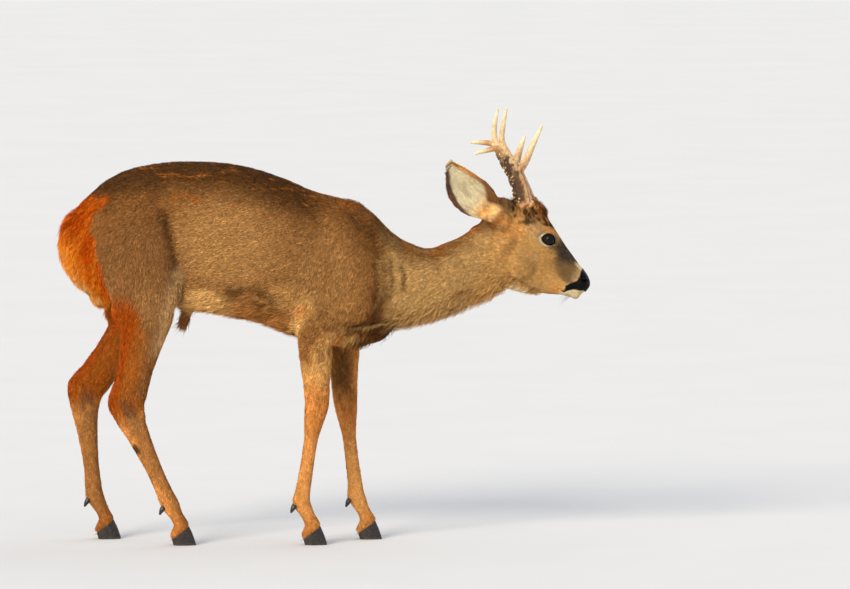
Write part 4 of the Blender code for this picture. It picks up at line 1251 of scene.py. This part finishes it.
def pearled_antler(name, grain, rng):
    """One antler, its burr knobbled, its rear side beaded and its beam grooved, with its markings."""
    plan = Antler(*(np.array(part, float) + SLIDE for part in ANTLERS[name]))
    beam = plan.beam
    bm = bmesh.new()
    for points, radii in zip(plan, RADII):
        horn(bm, points, radii)
    beaded(bm, beam, -1 if name == "right" else 1, rng)
    burred(bm, beam, rng)
    obj = linked("rough", mesh_of(bm, "rough"))
    remeshed(obj, grain, 2)
    mesh = taken_from(obj)
    p = coords_of(mesh)
    off, along = far_from(p, beam)
    tines = [far_from(p, part) for part in plan[1:]]
    tine = np.minimum.reduce([far for far, _ in tines])
    tip = np.maximum.reduce([ease(0.45, 0.95, t) * ease(12, 7, far) for far, t in tines])
    place, way = along_spline(beam, along)
    ahead = unit(np.cross(way, (0, 1, 0)))
    ahead *= np.sign(ahead[:, :1])
    beside = np.cross(way, ahead)
    forward = ((p - place) * ahead).sum(axis=1)
    turn = np.arctan2(((p - place) * beside).sum(axis=1), forward)
    on_beam = ease(0.95, 0.8, along) * ease(0.03, 0.12, along) * ease(5, 9, tine + 6 * (along < 0.55))
    wander = 0.8 * ripple(p, 18, 21)
    groove = on_beam * np.maximum(0, np.cos(turn * 9 + wander * 2.2)) ** 3 * ease(-0.35, 0.15, forward / 14)
    p = p - normals_of(mesh) * (0.75 * groove)[:, None]
    put_coords(mesh, p)
    hump = ((p - softened(p, edges_of(mesh), 12)) * normals_of(mesh)).sum(axis=1)
    front = ((p - place) * ahead).sum(axis=1) / at_share(along, RADII.beam)
    rough = ripple(p, 5, 22)
    paint = Paint(ANTLER_TINTS, "front", len(p))
    lay = paint.lay
    lay("bone", 0.6 * ease(-0.1, 0.5, rough + 0.6 * ripple(p, 14, 23)) * ease(0.3, 0.7, front))
    lay("rear", ease(0.48, 0.05, front + 0.25 * rough) * ease(0.97, 0.82, along))
    lay("groove", 0.9 * groove)
    lay("bone", 0.75 * ease(0.5, 0.85, along) * ease(-0.4, 0.4, rough + front))
    lay("pearl", ease(0.25, 0.95, hump + 0.15 * rough))
    lay("rear", 0.85 * ease(-0.15, -0.55, hump) * (1 - tip))
    lay("tip", tip)
    burr = ease(0.17, 0.1, along + 0.01 * rough) * ease(11, 15, off)
    lay("burr", burr)
    lay("bone", 0.35 * burr * ease(0.2, 0.7, rough))
    lay("groove", 0.85 * ease(0.17, 0.1, along) * ease(0.1, -0.7, hump))
    store(mesh, "marking", "FLOAT_COLOR", np.clip(paint.rgb * (1 + 0.12 * rough[:, None]), 0.002, 1))
    return mesh


def far_from(p, points, steps=90):
    """How far each place is from a smooth curve, and how far along it, from 0 to 1."""
    t = np.linspace(0, 1, steps)
    curve, _ = along_spline(points, t)
    best = np.full(len(p), 1e9)
    along = np.zeros(len(p))
    for share, spot in zip(t, curve):
        far = np.linalg.norm(p - spot, axis=1)
        along = np.where(far < best, share, along)
        best = np.minimum(best, far)
    return best, along


# ---- eyes, hooves and whiskers
CORNEA = 0.9  # how far the cornea stands out
RING_STEP, RING_HEIGHT = 3.4, 0.16  # the hooves' rings of growth


def eye_mesh(side):
    """A wet eyeball with its cornea standing proud, and how far each point lies from the pupil's middle."""
    bm = bmesh.new()
    bmesh.ops.create_uvsphere(bm, u_segments=72, v_segments=40, radius=EYE_RADIUS)
    bm.normal_update()
    for v in bm.verts:
        turn = math.degrees(math.acos(max(-1, min(1, v.co.z / EYE_RADIUS))))
        v.co += v.normal * CORNEA * float(ease(46, 20, turn))
    mesh = mesh_of(bm, "eye")
    x, y, z = coords_of(mesh, 1).T
    store(mesh, "pupil", "FLOAT", np.hypot(x / 1.45, y) + 30 * (z < 0))
    store(mesh, "iris", "FLOAT", np.hypot(x, y) + 30 * (z < 0))
    out = Vector((0.22, side, 0.06)).normalized()
    along = (Vector((1, 0, 0.3)) - out * out.dot(Vector((1, 0, 0.3)))).normalized()
    square = Matrix((along, out.cross(along), out)).transposed().to_4x4()
    mesh.transform(Matrix.Scale(MM, 4) @ HEAD @ Matrix.Translation((EYE[0], side * EYE[1], EYE[2])) @ square)
    shade_smooth(mesh)
    return mesh


def foot_mesh(nodes, grain):
    """A foot's hooves and dewclaws, rounded and ringed with growth, flat where they stand."""
    whole = bmesh.new()
    for node in nodes:
        bm = bmesh.new()
        add_node(bm, node, 0)
        obj = linked("rough", mesh_of(bm, "rough"))
        sole = coords_of(obj.data)[:, 2].min()
        remeshed(obj, grain, 5)
        mesh = taken_from(obj)
        p = coords_of(mesh)
        n = normals_of(mesh)
        rings = np.cos((p[:, 2] + 0.35 * p[:, 0] + 0.6 * ripple(p, 9, 31)) * 2 * np.pi / RING_STEP)
        grow = RING_HEIGHT * rings * ease(0.8, 0.3, np.abs(n[:, 2])) * ease(2, 5, p[:, 2] - sole)
        p = p + n * (grow + 0.1 * ripple(p, 3, 32))[:, None]
        if "dewclaw" not in node:
            p[:, 2] -= np.maximum(0, over_coronet(p))
            flat = ease(1.6, 0.8, p[:, 2] - sole) * ease(-0.3, -0.8, n[:, 2])
            p[:, 2] = np.maximum(sole, p[:, 2] * (1 - flat) + sole * flat)
        put_coords(mesh, p)
        whole.from_mesh(mesh)
        bpy.data.meshes.remove(mesh)
    mesh = mesh_of(whole, "foot")
    shade_smooth(mesh)
    return mesh


# Whiskers of muzzle, chin and brow: how many, then how far along the head, how high and how long, each
# between two bounds.
WHISKERS = ((16, (78, 104), (-48, -20), (16, 34)), (8, (86, 104), (-68, -58), (14, 26)),
            (4, (-10, 8), (22, 28), (20, 30)))
WHISKER_WIDTH, LASH_WIDTH, LASHES = 0.22, 0.26, 26


def thread(bm, side, path, thick):
    """A tapering hair through three places of the head, with y out to this side."""
    horn(bm, [in_head(*place, side) for place in path], (thick, thick * 0.8, thick * 0.15), rings=6, sides=3)


def whisker_mesh(skin, rng):
    """Whiskers on the muzzle and chin and over the eyes, and lashes on the upper lids."""
    bm = bmesh.new()
    for _, side in SIDES:
        h = into(HEAD, skin.p)
        h[:, 1] *= side
        normal = turned(HEAD.inverted(), skin.normal)
        normal[:, 1] *= side
        spots = [[rng.uniform(*bounds) for bounds in places] for count, *places in WHISKERS
                 for _ in range(count)]
        for x, z, long in spots:
            far = (h[:, 0] - x) ** 2 + (h[:, 2] - z) ** 2 + 1e6 * (h[:, 1] < 2)
            at = int(np.argmin(far))
            root, out = h[at], normal[at]
            way = unit(out + np.array([-0.35, 0.2, -0.45]))
            thread(bm, side, (root - out, root + way * long * 0.5,
                              root + way * long + np.array([-0.12, 0, -0.16]) * long), WHISKER_WIDTH)
        tilt = math.radians(EYE_TILT)
        for share in np.linspace(-0.72, 0.78, LASHES):
            along = EYE_OPENING * share + rng.normal(0, 0.3)
            up = UPPER_LID * max(0.0, 1 - share ** 2) ** 0.69 - EYE_CORNERS + 0.5
            x = EYE[0] + along * math.cos(tilt) - up * math.sin(tilt)
            z = EYE[2] + up * math.cos(tilt) + along * math.sin(tilt)
            y = EYE[1] + math.sqrt(max(1, (EYE_RADIUS + 1.3) ** 2 - along**2 - up**2))
            long = rng.uniform(6.5, 9.5) * (1 - 0.3 * abs(share))
            thread(bm, side, ((x, y - 0.6, z), (x + 0.1 * along, y + 0.6 * long, z + 0.02 * long),
                              (x + 0.25 * along, y + 0.95 * long, z - 0.12 * long)), LASH_WIDTH)
    return mesh_of(bm, "whiskers")


# ---- materials
class Signal:
    """A shader socket's value. Sums written with it add Math nodes."""

    def __init__(self, finish, socket):
        self.finish = finish
        self.socket = socket

    def sum(self, operation, first, second):
        return self.finish.node("ShaderNodeMath", {"operation": operation}, {0: first, 1: second})

    def __add__(self, other):
        return self.sum("ADD", self, other)

    def __sub__(self, other):
        return self.sum("SUBTRACT", self, other)

    def __rsub__(self, other):
        return self.sum("SUBTRACT", other, self)

    def __mul__(self, other):
        return self.sum("MULTIPLY", self, other)

    __radd__ = __add__
    __rmul__ = __mul__


class Finish:
    """A material and its nodes."""

    def __init__(self, name, **constants):
        self.material = bpy.data.materials.new(name)
        self.material.use_nodes = True
        self.tree = self.material.node_tree
        self.shader = self.tree.nodes["Principled BSDF"]
        for socket, value in constants.items():
            self.shader.inputs[socket.replace("_", " ")].default_value = value

    def node(self, kind, settings=None, inputs=None, output=0):
        """A node of this type, with its settings made first, then its sockets filled or linked."""
        node = self.tree.nodes.new(kind)
        for key, value in (settings or {}).items():
            setattr(node, key, value)
        for key, value in (inputs or {}).items():
            if isinstance(value, Signal):
                self.tree.links.new(value.socket, node.inputs[key])
            else:
                node.inputs[key].default_value = value
        return Signal(self, node.outputs[output])

    def feed(self, socket, signal):
        self.tree.links.new(signal.socket, self.shader.inputs[socket])

    def attribute(self, name, output="Fac"):
        return self.node("ShaderNodeAttribute", {"attribute_name": name}, output=output)

    def place(self, *scale):
        """Object coordinates, stretched."""
        here = self.node("ShaderNodeTexCoord", output="Object")
        return self.node("ShaderNodeMapping", {"vector_type": "POINT"},
                         {"Vector": here, "Scale": scale or (1, 1, 1)})

    def noise(self, vector, scale, detail=3):
        return self.node("ShaderNodeTexNoise", None, {"Vector": vector, "Scale": scale, "Detail": detail})

    def cells(self, vector, scale):
        return self.node("ShaderNodeTexVoronoi", None, {"Vector": vector, "Scale": scale})

    def between(self, value, low, high, to_low=0.0, to_high=1.0):
        """to_low where the value is low, to_high where it is high, with soft ends."""
        return self.node("ShaderNodeMapRange", {"interpolation_type": "SMOOTHSTEP"},
                         {0: value, 1: low, 2: high, 3: to_low, 4: to_high})

    def mixed(self, first, second, factor):
        """Two colours mixed by a factor."""
        return self.node("ShaderNodeMix", {"data_type": "RGBA"}, {0: factor, 6: first, 7: second}, output=2)

    def scaled(self, colour, factor):
        return self.node("ShaderNodeVectorMath", {"operation": "SCALE"}, {0: colour, 3: factor})

    def bump(self, height, strength, distance):
        self.feed("Normal", self.node("ShaderNodeBump", None,
                                      {"Height": height, "Strength": strength, "Distance": distance * MM}))


def skin_finish():
    """Short hair close to the skin, and the bare, pebbled, moist skin of nose, lips and lids."""
    finish = Finish("skin", Roughness=0.7, Specular_IOR_Level=0.05)
    bare = finish.attribute("bare")
    colour = finish.attribute("marking", "Color")
    nap = finish.noise(finish.place(1, 1, 0.45), 900, 2)
    finish.feed("Base Color", finish.scaled(colour, finish.between(nap, 0.3, 0.7, 0.62, 1.12)))
    finish.feed("Roughness", 0.72 - 0.36 * bare)
    finish.feed("Coat Weight", bare * 0.04)
    pebbles = finish.cells(finish.place(), 620)
    finish.bump(nap * (1 - bare) + (1 - pebbles) * bare, 0.6, 0.5)
    return finish.material


def coat_finish(name, roughness):
    """Hair: each strand's own tint, faintly mottled."""
    finish = Finish(name, Roughness=roughness, Specular_IOR_Level=0.02)
    tint = finish.attribute("tint", "Color")
    mottle = finish.noise(finish.place(), 140, 3)
    finish.feed("Base Color", finish.scaled(tint, finish.between(mottle, 0.25, 0.75, 0.86, 1.12)))
    finish.feed("Roughness", finish.between(mottle, 0.3, 0.7, roughness - 0.06, roughness + 0.08))
    return finish.material


def eye_finish():
    """Black oval pupil in a very dark brown iris, under a wet clear cornea."""
    finish = Finish("eye", Roughness=0.2, Coat_Weight=0.2, Coat_Roughness=0.02, Specular_IOR_Level=0.05)
    rays = finish.noise(finish.place(), 900, 2)
    iris = finish.mixed((0.006, 0.004, 0.003, 1), (0.020, 0.009, 0.005, 1), finish.between(rays, 0.35, 0.65))
    inside = finish.mixed((0.003, 0.004, 0.006, 1), iris, finish.between(finish.attribute("pupil"), 4.6, 5.6))
    finish.feed("Base Color", finish.mixed(inside, (0.006, 0.005, 0.005, 1),
                                           finish.between(finish.attribute("iris"), 10.2, 11.6)))
    return finish.material


def antler_finish():
    """Bone stained by bark and polished where it stands proud."""
    finish = Finish("antler", Specular_IOR_Level=0.4)
    colour = finish.attribute("marking", "Color")
    grain = finish.noise(finish.place(1, 1, 0.3), 420, 4)
    pores = finish.noise(finish.place(), 1300, 2)
    finish.feed("Base Color", finish.scaled(colour, finish.between(grain, 0.3, 0.7, 0.78, 1.18)))
    finish.feed("Roughness", finish.between(grain, 0.3, 0.7, 0.42, 0.62))
    finish.bump(grain + 0.4 * pores, 0.5, 0.5)
    return finish.material


def hoof_finish():
    """Dark horn banded with growth, greyer and scuffed low down."""
    finish = Finish("horn", Specular_IOR_Level=0.45)
    height = finish.node("ShaderNodeSeparateXYZ", None, {0: finish.place()}, output=2)
    wander = finish.noise(finish.place(), 60, 3)
    bands = finish.noise(finish.place(0.25, 0.25, 1), 700, 2)
    low = finish.between(height + 0.01 * wander, 0.012, 0.002)
    banded = finish.mixed((0.012, 0.009, 0.008, 1), (0.042, 0.031, 0.024, 1),
                          finish.between(bands, 0.35, 0.7))
    scuffs = low * finish.between(wander, 0.4, 0.6)
    finish.feed("Base Color", finish.mixed(banded, (0.10, 0.08, 0.06, 1), scuffs))
    finish.feed("Roughness", finish.between(bands, 0.3, 0.7, 0.34, 0.52) + 0.18 * low)
    finish.bump(bands, 0.4, 0.3)
    return finish.material


def whisker_finish():
    """Stiff black-brown hairs."""
    finish = Finish("whisker", Roughness=0.45)
    shade = finish.noise(finish.place(), 30, 1)
    finish.feed("Base Color", finish.mixed((0.012, 0.009, 0.007, 1), (0.05, 0.035, 0.022, 1), shade))
    return finish.material


def floor_finish(tint):
    """A pale, matt floor."""
    finish = Finish("floor", Roughness=0.9, Specular_IOR_Level=0.2)
    mottle = finish.noise(finish.place(), 3, 4)
    finish.feed("Base Color", finish.mixed((*tint, 1), (*(0.94 * c for c in tint), 1), mottle))
    return finish.material


# ---- what a user would change
def tint_property(name, default):
    label = name.replace("_", " ").capitalize()
    return FloatVectorProperty(name=label, description=f"Colour of the hair called {label.lower()}",
                               default=default, subtype="COLOR", size=3, min=0, max=1)


class RoeTints(bpy.types.PropertyGroup):
    """Colours of the hair."""

    __annotations__ = {name: tint_property(name, tint) for name, tint in TINTS.items()}


class RoeCoat(bpy.types.PropertyGroup):
    """Sizes of the skin and the coat."""

    thickness: FloatProperty(name="Thickness", description="Number of tufts, as a share of the full coat",
                             default=1.0, min=0.02, max=1.3, subtype="FACTOR")
    length: FloatProperty(name="Length", description="Length of the hair, as a share of its own",
                          default=1.0, min=0.3, max=2.0, subtype="FACTOR")
    width: FloatProperty(name="Width", description="Width of the strands, as a share of their own",
                         default=1.0, min=0.3, max=3.0, subtype="FACTOR")
    stray: FloatProperty(name="Stray", description="How far single strands turn from the lie of the coat",
                         default=math.radians(10), min=0, max=math.radians(60), subtype="ANGLE")
    sway: FloatProperty(name="Sway", description="How far the locks wander from the lie of the coat",
                        default=0.26, min=0, max=1, subtype="FACTOR")
    speckle: FloatProperty(name="Speckle", description="How much strands and locks differ in lightness",
                           default=1.0, min=0, max=2, subtype="FACTOR")
    grain: FloatProperty(name="Skin grain", description="Size of the skin's faces before it is refined",
                         default=6.0 * MM, min=3 * MM, max=20 * MM, unit="LENGTH")
    seed: IntProperty(name="Seed", description="Start of the coat's chance differences", default=11, min=0)


class RoeHorn(bpy.types.PropertyGroup):
    """Sizes of the antlers and hooves."""

    antler_grain: FloatProperty(name="Antler grain", description="Size of the antlers' faces",
                                default=1.15 * MM, min=0.5 * MM, max=5 * MM, unit="LENGTH")
    hoof_grain: FloatProperty(name="Hoof grain", description="Size of the hooves' faces",
                              default=1.3 * MM, min=0.8 * MM, max=5 * MM, unit="LENGTH")


class RoeStage(bpy.types.PropertyGroup):
    """Floor, light and camera."""

    floor: FloatVectorProperty(name="Floor", description="Colour of the floor", default=(0.72, 0.71, 0.69),
                               subtype="COLOR", size=3, min=0, max=1)
    sun: FloatProperty(name="Main light", description="Strength of the main light",
                       default=3.0, min=0, max=20)
    sky: FloatProperty(name="Soft light", description="Strength of the light from all round",
                       default=0.75, min=0, max=5)
    view_height: FloatProperty(name="Camera height", description="How far the camera looks down",
                               default=math.radians(4.5), min=0, max=math.radians(80), subtype="ANGLE")
    view_distance: FloatProperty(name="Camera distance", description="Distance from the camera to the animal",
                                 default=20.0, min=2, max=100, unit="LENGTH")


class RoeDeer(bpy.types.PropertyGroup):
    """Everything that can be changed on the roe deer."""

    tints: PointerProperty(type=RoeTints, name="Tints", description="Colours of the hair")
    coat: PointerProperty(type=RoeCoat, name="Coat", description="Sizes of the skin and the coat")
    horn: PointerProperty(type=RoeHorn, name="Horn", description="Sizes of the antlers and hooves")
    stage: PointerProperty(type=RoeStage, name="Stage", description="Floor, light and camera")


# ---- operators
made = {}  # the skin and the finishes, for the pieces that grow on it


def needed_skin():
    """The skin that the other pieces grow on."""
    if "skin" not in made:
        raise RuntimeError("The skin comes first: run its operator before the coat's.")
    return made["skin"]


def tinted(p, normal, settings):
    """The animal's markings in the colours that are set."""
    return markings(p, normal, {name: tuple(getattr(settings.tints, name)) for name in TINTS})


# What sets each piece's chances apart, beside the coat's own, which count from 0.
WISP_DICE, WHISKER_DICE, ANTLER_DICE = 50, 60, 70


def dice(settings, number):
    """One piece's chances, the same on every run."""
    return np.random.default_rng(settings.coat.seed * 100 + number)


def swaying(p, size, seed):
    """A smooth wandering direction at each point."""
    return np.column_stack([ripple(p, size, seed + axis) for axis in range(3)])


# Locks differ in lightness in fine lumps and in coarse ones, the latter by these shares on body and head.
FINE_LOCK, COARSE_LOCK = 2.6, 6
COARSE_ON_BODY, COARSE_ON_HEAD = 0.8, 0.25


def grow(growth, skin, settings, number):
    """Sows one piece of the coat on the skin and makes its tufts."""
    coat = settings.coat
    rng = dice(settings, number)
    share = coat.thickness * 1
    weight = np.clip(growth.owns, 0, 1) * (1 - skin.bare) * skin.crowding
    at = sown(skin, weight, int(growth.tufts * share), rng)
    roots, normal = at(skin.p), unit(at(skin.normal))
    way = unit(at(skin.way)) + coat.sway * swaying(roots, 13, 40)
    length, wide, rise = (at(values) for values in skin.hair)
    wider = 1 * coat.width
    coarse = COARSE_ON_BODY if growth.bent else COARSE_ON_HEAD
    lock = growth.clump * coat.speckle * (locks(roots, growth.lie, FINE_LOCK, 51)
                                          + coarse * locks(roots, growth.lie, COARSE_LOCK, 52))
    rgb = tinted(roots, normal, settings) * np.exp(1.5 * lock)[:, None]
    hair = (length * coat.length, wide * wider, rise * (1 + 0.6 * lock))
    mesh = tuft_mesh(growth.name, roots, normal, way, hair, rgb, growth.chart(roots, normal), growth.strands,
                     growth.bent, coat.stray, growth.speckle * coat.speckle, rng)
    piece_from(growth.name, mesh, made["finishes"][growth.slot], growth.slot)


def grow_all(context, *names):
    """Grows the pieces of the coat that these names name."""
    skin = needed_skin()
    settings = context.scene.roe_deer
    if "finishes" not in made:
        made["finishes"] = {"coat": coat_finish("coat", 0.58), "leg_coat": coat_finish("leg_coat", 0.55),
                            "ear_coat": coat_finish("ear_coat", 0.62)}
    for number, growth in enumerate(growths(skin)):
        if any(name in growth.name for name in names):
            grow(growth, skin, settings, number)
    return {"FINISHED"}


class ROE_OT_skin(bpy.types.Operator):
    """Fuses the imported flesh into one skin, sinks it under the coat and shapes its folds and face."""

    bl_idname = "roe.skin"
    bl_label = "Skin"

    def execute(self, context):
        settings = context.scene.roe_deer
        obj = fused_skin(settings.coat.grain * (1))
        refine(obj, [(in_head(EYE[0], EYE[1] * 1.3, EYE[2], side), EYE_FINE) for _, side in SIDES]
               + [(in_head(*NOSE_MIDDLE), NOSE_FINE)]
               + [(in_head(*NOSTRIL_MIDDLE, side), NOSTRIL_FINE) for _, side in SIDES])
        skin = Skin(obj.data)
        skin.belong()
        skin.normal = skin.normals()
        h = outward_head(skin.p)
        bare = nose_amount(h) * (h[:, 0] > 60)
        depth = skin.blended("depth") * (1 - bare)
        skin.move(skin.normal, -(depth + folded(skin)))
        face_shaped(skin)
        mesh = skin.mesh
        shade_smooth(mesh)
        skin.normal = skin.normals()
        skin.bare = bare_amount(skin)
        skin.crowding = 1 + 2.2 * share_of(skin, "head") + 0.5 * share_of(skin, "ear")
        skin.way = lie_of_coat(skin.p, skin.normal, skin.share)
        skin.hair = hair_sizes(skin)
        store(mesh, "marking", "FLOAT_COLOR", tinted(skin.p, skin.normal, settings))
        store(mesh, "bare", "FLOAT", skin.bare)
        mesh.name = obj.name = "skin"
        covered(mesh, skin_finish())
        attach(obj, "root")
        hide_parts(*FLESH)
        made["skin"] = skin
        return {"FINISHED"}


class ROE_OT_body_coat(bpy.types.Operator):
    """Grows the coat of the trunk and the neck."""

    bl_idname = "roe.body_coat"
    bl_label = "Coat of body and neck"

    def execute(self, context):
        return grow_all(context, "rump", "loins", "ribs", "shoulders", "neck")


class ROE_OT_head_coat(bpy.types.Operator):
    """Grows the short coat of the face and the curls of the crown."""

    bl_idname = "roe.head_coat"
    bl_label = "Coat of head"

    def execute(self, context):
        return grow_all(context, "face", "crown")


class ROE_OT_ear_coat(bpy.types.Operator):
    """Grows the coat of the ears, long and pale in their hollows."""

    bl_idname = "roe.ear_coat"
    bl_label = "Coat of ears"

    def execute(self, context):
        return grow_all(context, "ears")


class ROE_OT_leg_coat(bpy.types.Operator):
    """Grows the flat coat of the legs."""

    bl_idname = "roe.leg_coat"
    bl_label = "Coat of legs"

    def execute(self, context):
        return grow_all(context, "legs")


class ROE_OT_wisps(bpy.types.Operator):
    """Grows the longer hair of belly, rump, throat, jaw and crown."""

    bl_idname = "roe.wisps"
    bl_label = "Long hair"

    def execute(self, context):
        skin = needed_skin()
        settings = context.scene.roe_deer
        rng = dice(settings, WISP_DICE)
        parts = []
        for wisp in wisps(skin):
            at = sown(skin, np.clip(wisp.where, 0, 1) * (1 - skin.bare), wisp.tufts, rng)
            roots, normal = at(skin.p), unit(at(skin.normal))
            way = unit(at(skin.way)) + np.array(wisp.way) * WISP_PULL + WISP_SWAY * swaying(roots, 9, 60)
            long = wisp.length * rng.uniform(0.7, 1.15, wisp.tufts)
            wide = np.full(wisp.tufts, WISP_WIDTH)
            parts.append((roots, normal, way, long, wide, long * wisp.stand * WISP_RISE))
        roots, normal, way, *hair = (np.concatenate(values) for values in zip(*parts))
        light = np.exp(0.3 * locks(roots, (-1, 0, -0.3), 3, 53))[:, None]
        colour = tinted(roots, normal, settings) * 1.08 * light
        chart = cylinder_map(roots, (-540, 0, 560), (560, 18, 600))
        mesh = tuft_mesh("coat_wisps", roots, normal, way, hair, colour, chart, 3, True,
                         math.radians(16), 0.2 * settings.coat.speckle, rng)
        piece_from("coat_wisps", mesh, made["finishes"]["coat"], "coat")
        return {"FINISHED"}


class ROE_OT_eyes(bpy.types.Operator):
    """Sets the two wet eyes in their lids."""

    bl_idname = "roe.eyes"
    bl_label = "Eyes"

    def execute(self, context):
        finish = eye_finish()
        for name, side in SIDES:
            eye = piece_from(f"eyeball_{name}", eye_mesh(side), finish, "eye")
            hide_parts(f"eye_{name}")
        return {"FINISHED"}


class ROE_OT_whiskers(bpy.types.Operator):
    """Sets whiskers on the muzzle and lashes on the lids."""

    bl_idname = "roe.whiskers"
    bl_label = "Whiskers and lashes"

    def execute(self, context):
        rng = dice(context.scene.roe_deer, WHISKER_DICE)
        piece_from("whiskers", whisker_mesh(needed_skin(), rng), whisker_finish(), "coat")
        return {"FINISHED"}


class ROE_OT_antlers(bpy.types.Operator):
    """Builds both antlers with their burrs, pearls, grooves and pale tines."""

    bl_idname = "roe.antlers"
    bl_label = "Antlers"

    def execute(self, context):
        finish = antler_finish()
        settings = context.scene.roe_deer
        rng = dice(settings, ANTLER_DICE)
        grain = settings.horn.antler_grain * 1
        for name, _ in SIDES:
            antler = piece_from(f"horn_{name}", pearled_antler(name, grain, rng), finish, "antler")
            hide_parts(*(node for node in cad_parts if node.startswith(f"antler_{name}")))
        return {"FINISHED"}


class ROE_OT_hooves(bpy.types.Operator):
    """Rounds and rings the hooves and dewclaws of each foot."""

    bl_idname = "roe.hooves"
    bl_label = "Hooves"

    def execute(self, context):
        finish = hoof_finish()
        grain = context.scene.roe_deer.horn.hoof_grain
        for leg in LEGS:
            nodes = [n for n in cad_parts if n.startswith(leg) and ("hoof" in n or "dewclaw" in n)]
            foot = piece_from(f"foot_{leg}", foot_mesh(nodes, grain), finish, "horn")
            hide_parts(*nodes)
        return {"FINISHED"}


SKY_TINT = (0.86, 0.90, 1.0, 1)
# Each light: its name, share of the main light's strength, width in degrees, place it comes from, colour.
LIGHTS = (("main light", 1, 24, (-0.62, -0.95, 0.62), (1.0, 0.93, 0.80)),
          ("far light", 0.22, 60, (0.9, 0.8, 0.9), (0.9, 0.95, 1.0)))
FLOOR_RADIUS = 40
SENSOR = 36  # millimetres
VIEW_WIDTH, VIEW_MIDDLE = 1.70, (0.2015, 0, 0.497)  # what the camera shows, in metres


class ROE_OT_stage(bpy.types.Operator):
    """Lays the pale floor, lights it softly and aims the camera."""

    bl_idname = "roe.stage"
    bl_label = "Stage"

    def execute(self, context):
        stage = context.scene.roe_deer.stage
        bm = bmesh.new()
        bmesh.ops.create_circle(bm, cap_ends=True, segments=96, radius=FLOOR_RADIUS)
        floor = linked("floor", mesh_of(bm, "floor"))
        covered(floor.data, floor_finish(tuple(stage.floor)))

        world = bpy.data.worlds.new("soft light")
        world.use_nodes = True
        background = world.node_tree.nodes["Background"]
        background.inputs["Color"].default_value = SKY_TINT
        background.inputs["Strength"].default_value = stage.sky
        context.scene.world = world
        for name, share, wide, way, tint in LIGHTS:
            light = bpy.data.lights.new(name, "SUN")
            light.energy = stage.sun * share
            light.angle = math.radians(wide)
            light.color = tint
            linked(name, light).matrix_world = facing(way)

        camera = bpy.data.cameras.new("camera")
        camera.sensor_width = SENSOR
        camera.lens = SENSOR * stage.view_distance / VIEW_WIDTH
        camera.clip_end = 200
        eye = linked("camera", camera)
        away = Vector((0, -math.cos(stage.view_height), math.sin(stage.view_height)))
        aim = Vector((VIEW_MIDDLE[0] + SLIDE[0] * MM, *VIEW_MIDDLE[1:]))
        eye.matrix_world = Matrix.Translation(aim + away * stage.view_distance) @ facing(away)
        context.scene.camera = eye
        context.scene.view_settings.view_transform = "Standard"
        return {"FINISHED"}


class ROE_PT_deer(bpy.types.Panel):
    """Lists the steps that build the roe deer."""

    bl_idname = "ROE_PT_deer"
    bl_label = "Roe Deer"
    bl_space_type = "VIEW_3D"
    bl_region_type = "UI"
    bl_category = "Roe Deer"

    def draw(self, context):
        for step in STEPS:
            self.layout.operator(step.bl_idname)
        settings = context.scene.roe_deer
        for group in (settings.coat, settings.horn, settings.stage, settings.tints):
            box = self.layout.box()
            for name in group.__annotations__:
                box.prop(group, name)


STEPS = (ROE_OT_skin, ROE_OT_body_coat, ROE_OT_head_coat, ROE_OT_ear_coat, ROE_OT_leg_coat, ROE_OT_wisps,
         ROE_OT_eyes, ROE_OT_whiskers, ROE_OT_antlers, ROE_OT_hooves, ROE_OT_stage)
CLASSES = (RoeTints, RoeCoat, RoeHorn, RoeStage, RoeDeer, *STEPS, ROE_PT_deer)


def register():
    for cls in CLASSES:
        bpy.utils.register_class(cls)
    bpy.types.Scene.roe_deer = PointerProperty(type=RoeDeer, name="Roe deer",
                                               description="The roe deer's settings")


def unregister():
    del bpy.types.Scene.roe_deer
    for cls in reversed(CLASSES):
        bpy.utils.unregister_class(cls)


def main():
    register()
    for step in STEPS:
        family, name = step.bl_idname.split(".")
        getattr(getattr(bpy.ops, family), name)()


if __name__ == "__main__":
    main()
